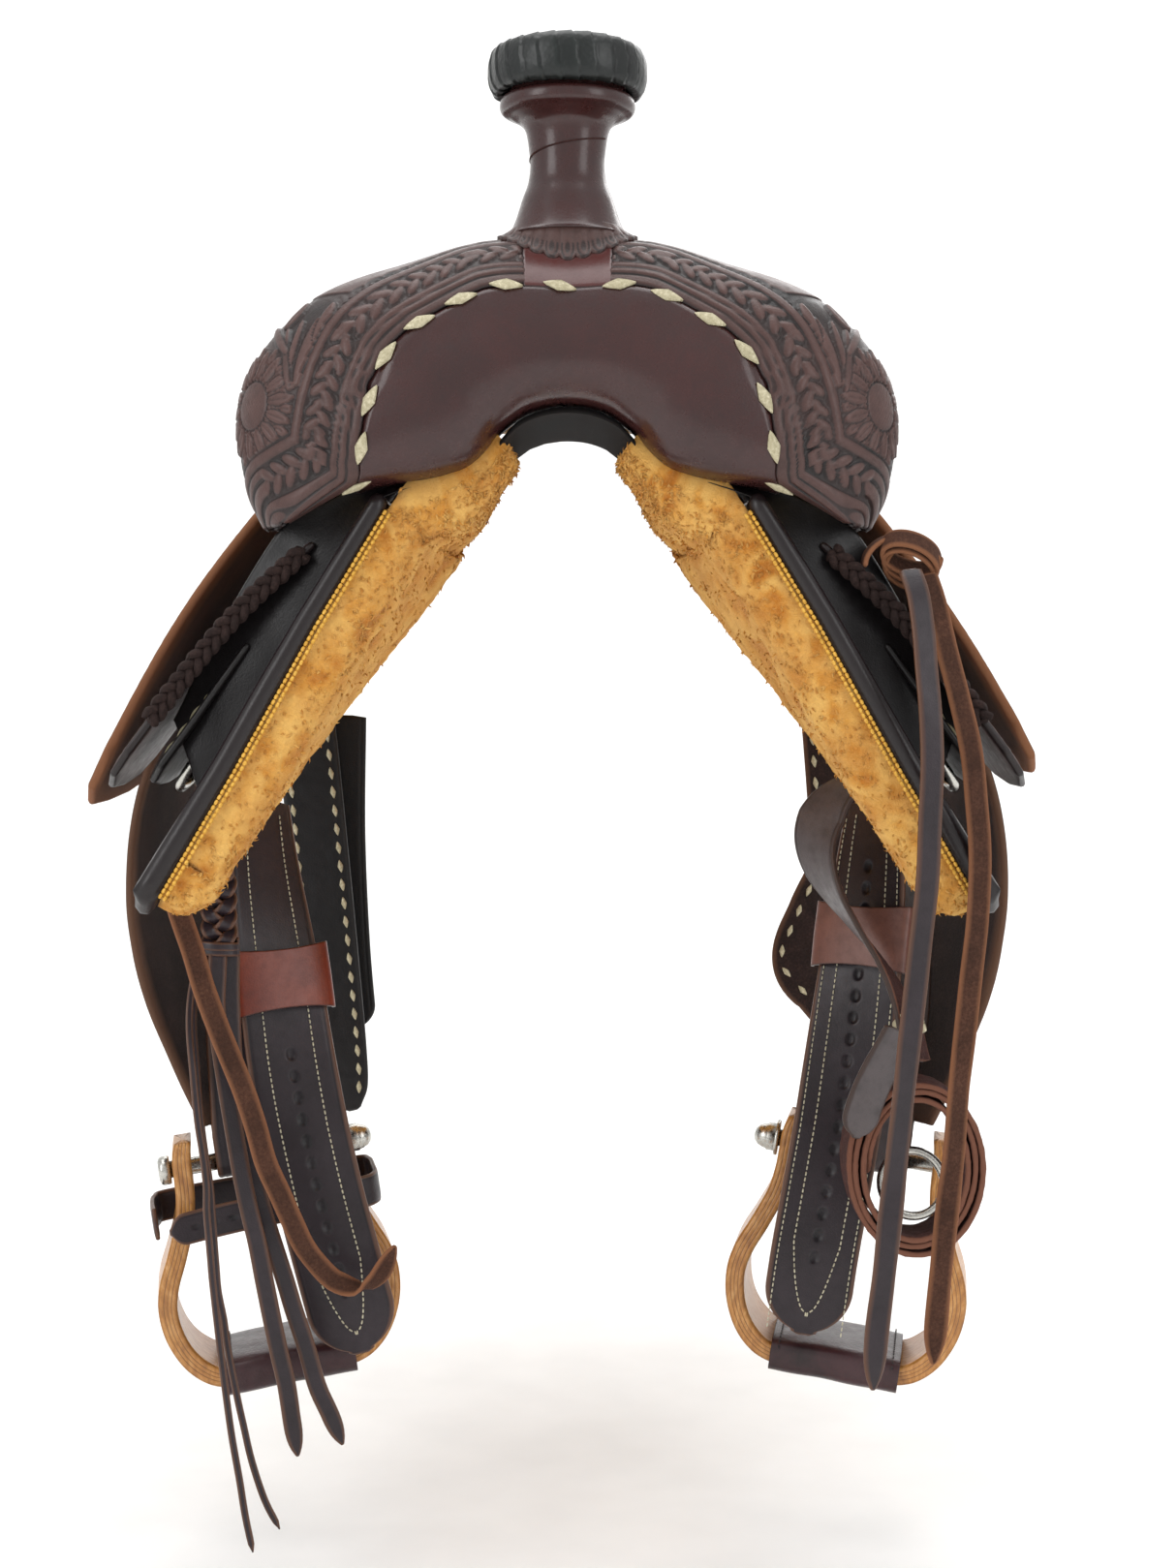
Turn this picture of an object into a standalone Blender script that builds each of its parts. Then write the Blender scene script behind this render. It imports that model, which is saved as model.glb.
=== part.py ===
"""Western saddle: tree, tooled leather, fleece-lined skirts, rigging, fenders and stirrups.

X points to the rider's right as the saddle is seen from the front, Y runs from the fork to the
rear skirts and Z is up. The origin is the top of the gullet, where the fork bridges the withers.
Lengths below are in millimetres. side is -1 for the off (horse's right) half, +1 for the near half.
"""
import math

import bmesh
import bpy
import numpy as np

MM = 0.001
SIDES = {"left": -1, "right": 1}

# Fork: gullet edge and crown edge of the swell, matched point by point from the centre outwards.
GULLET_EDGE = [(0, 1), (10, 0), (20, -3), (28, -8), (35, -14), (41, -22), (50, -30),
               (60, -34), (72, -37), (86, -39), (103, -42), (124, -50), (142, -59)]
CROWN_EDGE = [(0, 87), (32, 89), (54, 86), (83, 77), (110, 69), (130, 60), (144, 49),
              (158, 34), (168.5, 15), (172.5, -5), (171, -28), (166, -46), (159, -60)]
HALF_DEPTH = [48, 48, 48, 47, 46, 46, 45, 43, 40, 36, 30, 24, 18]
STITCH_SHARE = [0.66, 0.66, 0.67, 0.64, 0.60, 0.56, 0.50, 0.42, 0.33, 0.22, 0.06]
GULLET_Y = -2
CROWN_Y = 28
ROUNDNESS = 2.5
COVER_THICKNESS = 3.6
COVER_GAP = 3.4

# Skirt panel: section across the saddle at the front edge and at the rear edge, x and z.
FRONT_SECTION = [(30, -20), (44, -31), (60, -41), (90, -50), (128, -112), (171, -188), (213, -258)]
REAR_SECTION = [(48, 34), (62, 26), (78, 14), (100, -4), (150, -55), (205, -118), (255, -185)]
PANEL_FRONT_Y = -10
PANEL_REAR_Y = 620
SKIRT_TOP = 3.05
SKIRT_CUT_Y = [-10, -2, 45, 65, 84, 110, 400, 470, 560, 600, 620]
SKIRT_CUT = [0.97, 1.0, 1.0, 0.88, 0.64, 0.62, 0.62, 0.72, 0.72, 0.60, 0.42]
SKIRT_THICKNESS = 4.4
SKIRT_GAP = 1.0
FLEECE_THICKNESS = [10, 14, 20, 24, 24, 24, 22]
BAR_PAD = 26
BAR_INNER = 6.0
BAR_OUTER = 15.0

# Horn: radius and height along the turned leather-covered post, and the cap.
HORN_Y = 18
HORN_NECK = [(29.8, 91), (26.8, 99), (23.6, 109), (20.6, 117), (19.3, 125), (19.5, 132),
             (22.1, 145.5), (29.5, 152), (34.4, 155.6)]
HORN_CAP_Z = (156.2, 186)
HORN_RIM_RADIUS = 36
HORN_RIM_TUBE = (5.2, 11.8)
HORN_RIM_Z = 174.5
HORN_CORE_RADIUS = 11

# Seat: centre line height, edge height and half-width along the saddle.
SEAT_Y = [100, 130, 160, 205, 250, 295, 335, 370, 400, 425, 445, 462]
SEAT_CENTRE_Z = [74, 67, 61, 54, 49, 48, 51, 58, 70, 87, 108, 130]
SEAT_EDGE_Z = [36, 33, 31, 30, 33, 38, 44, 52, 62, 74, 86, 97]
SEAT_HALF_WIDTH = [100, 106, 112, 119, 130, 144, 154, 162, 168, 171, 170, 164]
SEAT_THICKNESS = 6

# Hanging gear: fender, stirrup leather, stirrup.
FENDER_HINGE = (190, -85)
FENDER_STATIONS = [(187, 190, -95, 44, 0), (213, 190, -137, 64, 0), (229, 190, -165, 78, 0),
                   (240, 190, -192, 87, 0), (244, 190, -225, 90, 2), (241, 189, -262, 86, 6),
                   (235, 187, -294, 76, 10), (227, 185, -325, 62, 15), (218, 183, -356, 46, 21),
                   (211, 182, -382, 34, 26), (205, 182, -402, 26, 30)]
FENDER_THICKNESS = 4.5
LEATHER_WIDTH = 51
LEATHER_THICKNESS = 4
TAIL_LEFT = [(-182, 165, -211), (-178, 155, -250), (-169, 144, -305), (-159, 133, -366),
             (-146, 127, -426), (-133, 123, -475), (-119, 121, -526)]
TAIL_RIGHT = [(183, 165, -211), (179, 157, -239), (171, 144, -305), (160, 132, -377),
              (149, 126, -437), (142, 123, -475), (136, 121, -516)]
BOLT_LEFT = (-184.5, 170, -422)
BOLT_RIGHT = (178.5, 170, -422)
STIRRUP_ROLL = 8
STIRRUP_YAW = 10
STIRRUP_OUTER = [(48, 17), (50.5, 8), (51, -3), (51.5, -14), (54, -28), (61, -46), (68, -62),
                 (71, -77), (69, -94), (62, -110), (52, -121), (40, -127), (20, -129.5), (0, -130)]
STIRRUP_INNER = [(38, 17), (39.5, 8), (40, -3), (40.5, -15), (43.5, -31), (50.5, -50), (57, -65),
                 (60, -78), (58.5, -91), (54, -102.5), (47, -111), (38, -116.5), (20, -119.5),
                 (0, -120)]
STIRRUP_HALF_DEPTH = [15, 17, 18, 19, 20, 22, 24, 25, 26, 27, 28, 28, 28, 28]
BOLT_RADIUS = 5
BOLT_HOLE_RADIUS = 5.5

STRAP_THICKNESS = 2.6


def colour(code):
    """sRGB hex code as the linear values that a shader socket takes."""
    parts = [int(code[i:i + 2], 16) / 255 for i in (0, 2, 4)]
    linear = [c / 12.92 if c <= 0.04045 else ((c + 0.055) / 1.055) ** 2.4 for c in parts]
    return (*linear, 1.0)


FINISHES = {
    "tooled_leather": ("5d4644", 0.42, 0.0),
    "smooth_leather": ("4b3433", 0.30, 0.0),
    "dark_leather": ("2c2229", 0.40, 0.0),
    "black_leather": ("1d1a1c", 0.40, 0.0),
    "roughout": ("5f4032", 0.85, 0.0),
    "russet_leather": ("7b2f17", 0.38, 0.0),
    "fleece": ("d08a35", 0.95, 0.0),
    "wood": ("c08a46", 0.45, 0.0),
    "tree_wood": ("c9ad7d", 0.60, 0.0),
    "steel": ("b8b8b4", 0.25, 1.0),
    "rawhide": ("cfc6a8", 0.55, 0.0),
}


def finish(name):
    """The named material, made the first time that it is asked for."""
    material = bpy.data.materials.get(name)
    if material is None:
        code, roughness, metallic = FINISHES[name]
        material = bpy.data.materials.new(name)
        material.use_nodes = True
        shader = material.node_tree.nodes["Principled BSDF"]
        shader.inputs["Base Color"].default_value = colour(code)
        shader.inputs["Roughness"].default_value = roughness
        shader.inputs["Metallic"].default_value = metallic
    return material


def node(name, verts, faces, material, origin=(0, 0, 0), smooth=True):
    """One closed solid as a named object, its origin on its joint's axis."""
    verts = (np.asarray(verts, float).reshape(-1, 3) - np.asarray(origin, float)) * MM
    mesh = bpy.data.meshes.new(name)
    mesh.from_pydata(verts.tolist(), [], faces)
    solid = bmesh.new()
    solid.from_mesh(mesh)
    bmesh.ops.recalc_face_normals(solid, faces=solid.faces)
    solid.to_mesh(mesh)
    solid.free()
    for face in mesh.polygons:
        face.use_smooth = smooth
    mesh.materials.append(finish(material))
    obj = bpy.data.objects.new(name, mesh)
    obj.location = [c * MM for c in origin]
    bpy.context.scene.collection.objects.link(obj)
    return obj


def slab(name, outer, inner, material, origin=(0, 0, 0)):
    """A sheet with two faces: grids of equal size joined by walls along their borders."""
    rows, cols = outer.shape[:2]
    verts = np.concatenate([outer.reshape(-1, 3), inner.reshape(-1, 3)])
    half = rows * cols
    faces = []
    for i in range(rows - 1):
        for j in range(cols - 1):
            a, b, c, d = i * cols + j, i * cols + j + 1, (i + 1) * cols + j + 1, (i + 1) * cols + j
            faces.append((a, b, c, d))
            faces.append((half + d, half + c, half + b, half + a))
    border = [(0, j) for j in range(cols)] + [(i, cols - 1) for i in range(1, rows)]
    border += [(rows - 1, j) for j in range(cols - 2, -1, -1)] + [(i, 0) for i in range(rows - 2, 0, -1)]
    ring = [i * cols + j for i, j in border]
    for a, b in zip(ring, ring[1:] + ring[:1]):
        faces.append((b, a, half + a, half + b))
    return node(name, verts, faces, material, origin)


def loft(name, loops, material, closed=False, origin=(0, 0, 0)):
    """Loops of equal length joined one after another, capped at the ends unless closed."""
    loops = np.asarray(loops, float)
    count, size = loops.shape[:2]
    faces = []
    for i in range(count if closed else count - 1):
        here, there = i * size, ((i + 1) % count) * size
        for j in range(size):
            k = (j + 1) % size
            faces.append((here + j, here + k, there + k, there + j))
    if not closed:
        faces.append(tuple(range(size - 1, -1, -1)))
        faces.append(tuple(range((count - 1) * size, count * size)))
    return node(name, loops.reshape(-1, 3), faces, material, origin)


def turned(name, profile, centre, material, axis=(0, 0, 1), sides=20, closed=False, origin=(0, 0, 0)):
    """A profile of radius and height turned about an axis through the centre."""
    axis = np.asarray(axis, float) / np.linalg.norm(axis)
    first = np.cross(axis, (0, 1, 0) if abs(axis[1]) < 0.9 else (1, 0, 0))
    first /= np.linalg.norm(first)
    second = np.cross(axis, first)
    turns = np.arange(sides) * 2 * math.pi / sides
    ring = np.cos(turns)[:, None] * first + np.sin(turns)[:, None] * second
    loops = [np.asarray(centre) + axis * height + ring * radius for radius, height in profile]
    return loft(name, loops, material, closed, origin)


def along(points, count):
    """Points spread evenly by length on a smooth curve through the given ones (Catmull-Rom)."""
    pts = np.asarray(points, float)
    ends = np.vstack([2 * pts[0] - pts[1], pts, 2 * pts[-1] - pts[-2]])
    fine = []
    for i in range(1, len(ends) - 2):
        a, b, c, d = ends[i - 1:i + 3]
        for t in np.linspace(0, 1, 12, endpoint=False):
            fine.append(0.5 * (2 * b + (c - a) * t + (2 * a - 5 * b + 4 * c - d) * t ** 2
                               + (3 * b - a - 3 * c + d) * t ** 3))
    fine = np.vstack([fine, pts[-1]])
    steps = np.concatenate([[0], np.cumsum(np.linalg.norm(np.diff(fine[:, :3], axis=0), axis=1))])
    places = np.linspace(0, steps[-1], count)
    return np.column_stack([np.interp(places, steps, fine[:, k]) for k in range(fine.shape[1])])


def strap(name, path, across, width, thickness, material, origin=(0, 0, 0), tip=0.0, butt=0.0):
    """A flat strap along a path; across gives its width direction at each point.

    tip and butt are the lengths over which the far and near ends are rounded off.
    """
    path = np.asarray(path, float)
    run = np.gradient(path, axis=0)
    run /= np.linalg.norm(run, axis=1, keepdims=True)
    across = np.broadcast_to(np.asarray(across, float), path.shape).copy()
    across -= run * (across * run).sum(1, keepdims=True)
    across /= np.linalg.norm(across, axis=1, keepdims=True)
    face = np.cross(run, across)
    length = np.concatenate([[0], np.cumsum(np.linalg.norm(np.diff(path, axis=0), axis=1))])
    half = np.full(len(path), 0.5) * width
    for reach, distance in ((tip, length[-1] - length), (butt, length)):
        if reach:
            part = np.clip(distance / reach, 0, 1)
            half = half * np.maximum(0.3, np.sqrt(1 - (1 - part) ** 2))
    half = half[:, None]
    thick = thickness / 2
    loops = np.stack([path - across * half - face * thick, path + across * half - face * thick,
                      path + across * half + face * thick, path - across * half + face * thick], axis=1)
    return loft(name, loops, material, False, origin)


def band(name, centre, long_dir, wide_dir, thick_dir, hole, wall, height, material, origin=(0, 0, 0)):
    """A rectangular keeper loop around a strap, hole being its inner half-width and half-depth."""
    wide_dir, thick_dir, long_dir = (np.asarray(v, float) for v in (wide_dir, thick_dir, long_dir))
    corners = [(-1, -1), (0, -1), (1, -1), (1, 0), (1, 1), (0, 1), (-1, 1), (-1, 0)]
    loops = []
    for grow, rise in ((wall, -0.5), (wall, 0.5), (0, 0.5), (0, -0.5)):
        loops.append([np.asarray(centre) + wide_dir * a * (hole[0] + grow)
                      + thick_dir * b * (hole[1] + grow) + long_dir * rise * height for a, b in corners])
    return loft(name, loops, material, True, origin)


# ---------------------------------------------------------------- fork and horn

def fork_loop(side, place, inset, angles):
    """The fork's section at one place (0 centre to 12 foot), shrunk by inset, at the given angles.

    Angle pi is the gullet edge, the front face lies between pi and 2 pi, angle 0 is the crown.
    """
    index = np.arange(len(GULLET_EDGE))
    low = np.array([np.interp(place, index, [p[k] for p in GULLET_EDGE]) for k in (0, 1)])
    high = np.array([np.interp(place, index, [p[k] for p in CROWN_EDGE]) for k in (0, 1)])
    reach = np.linalg.norm(high - low)
    shrink = min(inset / reach, 0.45)
    depth = np.interp(place, index, HALF_DEPTH) - inset
    cosine, sine = np.cos(angles), np.sin(angles)
    share = 0.5 + (0.5 - shrink) * np.sign(cosine) * np.abs(cosine) ** (2 / ROUNDNESS)
    y = GULLET_Y + (CROWN_Y - GULLET_Y) * share + depth * np.sign(sine) * np.abs(sine) ** (2 / ROUNDNESS)
    x = low[0] + (high[0] - low[0]) * share
    z = low[1] + (high[1] - low[1]) * share
    return np.column_stack([side * x, y, z])


def stitch_angle(place):
    """Angle of the buckstitched seam between the gullet cover and the swell covers."""
    share = np.interp(place, np.arange(len(STITCH_SHARE)), STITCH_SHARE)
    cosine = math.copysign(abs(2 * share - 1) ** (ROUNDNESS / 2), 2 * share - 1)
    return 2 * math.pi - math.acos(cosine)


def tree_fork():
    """The wooden fork inside the swell, in one piece from foot to foot."""
    angles = np.arange(14) * 2 * math.pi / 14
    inset = COVER_THICKNESS + COVER_GAP
    places = [11.4, 10, 9, 8, 6.5, 5, 3.5, 2, 0.7]
    loops = [fork_loop(-1, p, inset, angles) for p in places]
    loops += [fork_loop(1, p, inset, angles) for p in places[::-1]]
    loft("tree_fork", loops, "tree_wood")


def gullet_cover():
    """The smooth crescent over the gullet, between the buckstitched seams, and its rolled lip."""
    half = [1, 2, 3, 4, 5, 6.5, 8, 9, 10]
    places = [-p for p in half[::-1]] + [0] + half
    grids = []
    for inset in (0, COVER_THICKNESS):
        rows = []
        for place in places:
            side = -1 if place < 0 else 1
            end = stitch_angle(abs(place)) - 0.03
            rows.append(fork_loop(side, abs(place), inset, np.linspace(0.86 * math.pi, end, 8)))
        grids.append(np.array(rows))
    slab("gullet_cover", grids[0], grids[1], "smooth_leather")


def swell_covers():
    """The tooled covers over the crown and the back of each swell."""
    places = [0.15, 1.2, 2.3, 3.5, 4.5, 5.5, 6.5, 7.5, 8.5, 9.5, 10.3, 11, 11.5, 12]
    for label, side in SIDES.items():
        grids = []
        for inset in (0, COVER_THICKNESS):
            rows = []
            for place in places:
                start = stitch_angle(min(place, 10)) + 0.03 - 2 * math.pi
                if place > 10:
                    start -= (place - 10) * 0.28
                rows.append(fork_loop(side, place, inset, np.linspace(start, 0.80 * math.pi, 12)))
            grids.append(np.array(rows))
        slab("swell_cover_" + label, grids[0], grids[1], "tooled_leather")


def gullet_lining():
    """The black leather arch that lines the hand hole under the fork."""
    arch = np.array([(-25, -10.5), (-14, -5), (0, -3.2), (14, -5), (25, -10.5)])
    outer, inner = [], []
    for y, drop in ((-6, 0), (40, 0.2), (75, 0.4), (105, 0.8)):
        outer.append([(x, y, z - drop) for x, z in arch])
        inner.append([(x * 0.92, y, z - drop - 2) for x, z in arch])
    slab("gullet_lining", np.array(outer, float), np.array(inner, float), "black_leather")


def horn():
    """Steel horn post, its leather neck, cap and bound rim."""
    centre = (0, HORN_Y, 0)
    outside = HORN_NECK
    inside = [(HORN_CORE_RADIUS + 0.6, HORN_NECK[-1][1]), (HORN_CORE_RADIUS + 0.6, HORN_NECK[0][1])]
    turned("horn_neck", outside + inside, centre, "smooth_leather", closed=True)
    turned("horn_post", [(HORN_CORE_RADIUS, 90.5), (HORN_CORE_RADIUS, HORN_CAP_Z[0] - 0.6)], centre, "steel", sides=16)
    cap_low, cap_high = HORN_CAP_Z
    seam = HORN_RIM_RADIUS - HORN_RIM_TUBE[0] - 0.4
    turned("horn_cap", [(8, cap_low), (seam, cap_low), (seam, cap_high - 2), (8, cap_high)], centre,
           "smooth_leather")
    rim = []
    for step in range(8):
        turn = step * 2 * math.pi / 8
        rim.append((HORN_RIM_RADIUS + HORN_RIM_TUBE[0] * math.cos(turn),
                    HORN_RIM_Z + HORN_RIM_TUBE[1] * math.sin(turn)))
    turned("horn_cap_binding", rim, centre, "black_leather", closed=True)


# ---------------------------------------------------------------- skirts, bars, jockeys

def panel_point(place, y):
    """Point of the skirt's inner face at a section place (0 to 6) and a distance from the front."""
    share = np.clip(y / PANEL_REAR_Y, 0, 1)
    index = np.arange(len(FRONT_SECTION))
    values = []
    for k in (0, 1):
        front = np.interp(place, index, [p[k] for p in FRONT_SECTION])
        rear = np.interp(place, index, [p[k] for p in REAR_SECTION])
        values.append(front + (rear - front) * share)
    return np.array([values[0], y, values[1]])


def panel_normal(place, y):
    """Unit direction out of the skirt panel, away from the horse."""
    step = 0.35
    run = panel_point(min(place + step, 6), y) - panel_point(max(place - step, 0), y)
    normal = np.array([-run[2], 0.0, run[0]])
    return normal / np.linalg.norm(normal)


def panel(side, places, ys, lift):
    """Grid on the skirt panel, lifted off it by lift(place, y) millimetres.

    places(y) gives the section places from top to bottom at that distance.
    """
    rows = []
    for y in ys:
        row = [panel_point(p, y) + panel_normal(p, y) * lift(p, y) for p in places(y)]
        rows.append([(side * q[0], q[1], q[2]) for q in row])
    return np.array(rows)


def bottom_place(y):
    """Section place of the skirt's lower edge."""
    return SKIRT_TOP + (6 - SKIRT_TOP) * np.interp(y, SKIRT_CUT_Y, SKIRT_CUT)


def bar_pad(place, y):
    """How far the fleece stands further in under the bar pad just behind the fork."""
    along_share = np.clip(y / 90, 0, 1) * np.clip((430 - y) / 200, 0, 1)
    return BAR_PAD * along_share * math.exp(-((place - 3.5) / 0.9) ** 2)


def fleece_depth(place, y):
    """Thickness of the fleece below the skirt panel."""
    return -(np.interp(place, np.arange(7), FLEECE_THICKNESS) + bar_pad(place, y))


def skirts_and_fleece():
    """Skirt leather with its fleece lining, one of each on both sides."""
    ys = [-10, 4, 25, 45, 65, 84, 110, 180, 290, 400, 470, 560, 620]
    for label, side in SIDES.items():
        def skirt_places(y):
            return np.linspace(SKIRT_TOP, bottom_place(y), 6)

        def fleece_places(y):
            return np.concatenate([[0, 1, 2], skirt_places(y)])

        slab("skirt_" + label, panel(side, skirt_places, ys, lambda p, y: SKIRT_THICKNESS + SKIRT_GAP),
             panel(side, skirt_places, ys, lambda p, y: SKIRT_GAP), "dark_leather")
        slab("fleece_" + label, panel(side, fleece_places, ys, lambda p, y: 0),
             panel(side, fleece_places, ys, fleece_depth), "fleece")


def tree_bars():
    """The two wooden bars that carry the fork and the cantle."""
    ys = [0, 60, 130, 220, 320, 420, 500, 575]
    for label, side in SIDES.items():
        def places(y):
            narrow = 0.25 if y in (0, 575) else 0.0
            return np.linspace(3.2 + narrow, 4.4 - narrow, 4)

        slab("tree_bar_" + label, panel(side, places, ys, lambda p, y: BAR_OUTER),
             panel(side, places, ys, lambda p, y: BAR_INNER), "tree_wood")


def ruled(side, section, ys, trims, thickness):
    """A flap with one section swept along the saddle; trims cut its lower edge at each station.

    Gives its two faces. A trim of 1 keeps the whole section.
    """
    section = np.asarray(section, float)
    steps = np.concatenate([[0], np.cumsum(np.linalg.norm(np.diff(section, axis=0), axis=1))])
    outer, inner = [], []
    for y, trim in zip(ys, trims):
        places = np.linspace(0, steps[-1] * trim, 6)
        x = np.interp(places, steps, section[:, 0])
        z = np.interp(places, steps, section[:, 1])
        run = np.column_stack([np.gradient(x), np.gradient(z)])
        run /= np.linalg.norm(run, axis=1, keepdims=True)
        for grid, lift in ((outer, thickness / 2), (inner, -thickness / 2)):
            grid.append(np.column_stack([side * (x - run[:, 1] * lift), np.full(6, y), z + run[:, 0] * lift]))
    return np.array(outer), np.array(inner)


def flaps():
    """Rigging plates, tooled front jockeys, flared seat jockeys and rear jockeys."""
    for label, side in SIDES.items():
        plate = ruled(side, [(166, -122), (190, -155), (218, -193)], [6, 16, 40, 66, 80, 88],
                      [0.86, 0.97, 1.0, 1.0, 0.97, 0.86], 4)
        slab("rigging_plate_" + label, *plate, "black_leather")
        front = ruled(side, [(132, -70), (170, -105), (206, -148), (241, -194)],
                      [2, 10, 30, 60, 82, 92], [0.86, 0.95, 1.0, 1.0, 0.97, 0.90], 4)
        slab("front_jockey_" + label, *front, "tooled_leather")
        tip = 272 if side < 0 else 266
        drop = -208 if side < 0 else -190
        seat = ruled(side, [(110, 18), (158, -32), (215, -106), (tip, drop)],
                     [93, 101, 125, 165, 220, 275, 315, 335],
                     [0.88, 0.96, 1.0, 1.0, 0.99, 0.96, 0.86, 0.72], 5)
        slab("seat_jockey_" + label, *seat, "roughout")

        def places(y):
            return np.linspace(3.0, 5.05 - (0.25 if y > 600 or y < 515 else 0.0), 6)

        def lift(place, y):
            return np.interp(place, [3, 4.5, 5.2], [23, 23, 8])

        ys = [506, 520, 560, 600, 612]
        slab("rear_jockey_" + label, panel(side, places, ys, lambda p, y: lift(p, y) + 4),
             panel(side, places, ys, lift), "tooled_leather")


# ---------------------------------------------------------------- seat and cantle

def seat_grid(drop):
    """Seat surface lowered by drop."""
    rows = []
    for y in SEAT_Y:
        centre = np.interp(y, SEAT_Y, SEAT_CENTRE_Z)
        edge = np.interp(y, SEAT_Y, SEAT_EDGE_Z)
        half = np.interp(y, SEAT_Y, SEAT_HALF_WIDTH)
        share = np.linspace(-1, 1, 9)
        rows.append(np.column_stack([share * half, np.full(9, y),
                                     centre - (centre - edge) * np.abs(share) ** 2.2 - drop]))
    return np.array(rows)


def seat_and_cantle():
    """Seat leather, wooden cantle, cantle back and its rolled binding."""
    slab("seat", seat_grid(0), seat_grid(SEAT_THICKNESS), "smooth_leather")
    xs = np.linspace(-140, 140, 11)
    top = np.interp(446, SEAT_Y, SEAT_CENTRE_Z)
    fall = top - np.interp(446, SEAT_Y, SEAT_EDGE_Z)
    rows = []
    for y in (447, 457):
        high = [(x, y, top - 14 - fall * (abs(x) / 170) ** 2.2) for x in xs]
        low = [(x, y, 40 - 30 * (abs(x) / 140) ** 2) for x in xs]
        rows.append(np.array([high, low], float))
    slab("tree_cantle", rows[0], rows[1], "tree_wood")
    xs = np.linspace(-158, 158, 13)
    arc = 131 - 34 * np.abs(xs / 164) ** 2.2
    faces = []
    for shift in (0, 5):
        faces.append(np.array([[(x, y + shift, arc_z * share + low * (1 - share))
                                for x, arc_z, low in zip(xs, arc - 13, 48 - 8 * np.abs(xs / 158))]
                               for share, y in ((1, 476), (0.5, 483), (0, 496))]))
    slab("cantle_back", faces[0], faces[1], "smooth_leather")
    points = [(x, 475.5, 140 - 35 * abs(x / 172) ** 2.2) for x in np.linspace(-172, 172, 17)]
    tube("cantle_binding", points, 9, 8, "black_leather")


def tube(name, points, radius, sides, material, closed=False, origin=(0, 0, 0)):
    """Round bar along a path that turns gently."""
    path = np.asarray(points, float)
    if closed:
        run = np.roll(path, -1, axis=0) - np.roll(path, 1, axis=0)
    else:
        run = np.gradient(path, axis=0)
    run /= np.linalg.norm(run, axis=1, keepdims=True)
    normal = np.cross(path[1] - path[0], path[len(path) // 2] - path[0])
    normal /= np.linalg.norm(normal)
    loops = []
    for point, direction in zip(path, run):
        first = normal - direction * (normal @ direction)
        first /= np.linalg.norm(first)
        second = np.cross(direction, first)
        turns = np.arange(sides) * 2 * math.pi / sides
        loops.append(point + radius * (np.cos(turns)[:, None] * first + np.sin(turns)[:, None] * second))
    return loft(name, loops, material, closed, origin)


def front_dees():
    """Stainless rigging dees behind the front rigging plates."""
    down = np.array([0.59, 0.0, -0.81])
    outline = []
    for step in range(14):
        turn = math.pi * step / 13
        outline.append((24 * math.cos(turn), 20 * math.sin(turn) + 2))
    outline += [(-24, -8), (-12, -10), (0, -10), (12, -10), (24, -8)]
    for label, side in SIDES.items():
        points = [(side * (195 + v * down[0]), 50 + u, -179 + v * down[2]) for u, v in outline]
        tube("front_dee_" + label, points, 2.6, 8, "steel", closed=True)


# ---------------------------------------------------------------- fenders and stirrups

def fenders():
    """Fender panels that hang over the stirrup leathers, turned outwards towards the foot."""
    stations = np.array(FENDER_STATIONS, float)
    for label, side in SIDES.items():
        centre = stations[:, :3] * (side, 1, 1)
        turn = np.radians(stations[:, 4])
        ahead = np.column_stack([side * np.sin(turn), -np.cos(turn), np.zeros(len(turn))])
        run = np.gradient(centre, axis=0)
        run /= np.linalg.norm(run, axis=1, keepdims=True)
        face = np.cross(run, ahead)
        face *= np.sign(face[:, :1] * side + 1e-9)
        face /= np.linalg.norm(face, axis=1, keepdims=True)
        shares = np.linspace(-1, 1, 5)
        grid = centre[:, None] + ahead[:, None] * (shares[None, :, None] * stations[:, None, 3:4])
        bow = face[:, None] * (3.0 * (shares ** 2)[None, :, None])
        middle = grid - bow
        half = face[:, None] * FENDER_THICKNESS / 2
        hinge = (side * 190, *FENDER_HINGE)
        slab("fender_" + label, middle + half, middle - half, "roughout", hinge)


def stirrup_axes(side):
    """Stirrup frame directions: along the bolt, front to back, and up."""
    roll = math.radians(STIRRUP_ROLL)
    yaw = math.radians(STIRRUP_YAW) * -side
    turn = np.array([[math.cos(yaw), -math.sin(yaw), 0], [math.sin(yaw), math.cos(yaw), 0], [0, 0, 1]])
    bolt = turn @ (math.cos(roll), 0, -side * math.sin(roll))
    depth = turn @ (0, 1, 0)
    up = turn @ (side * math.sin(roll), 0, math.cos(roll))
    return bolt, depth, up


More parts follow.
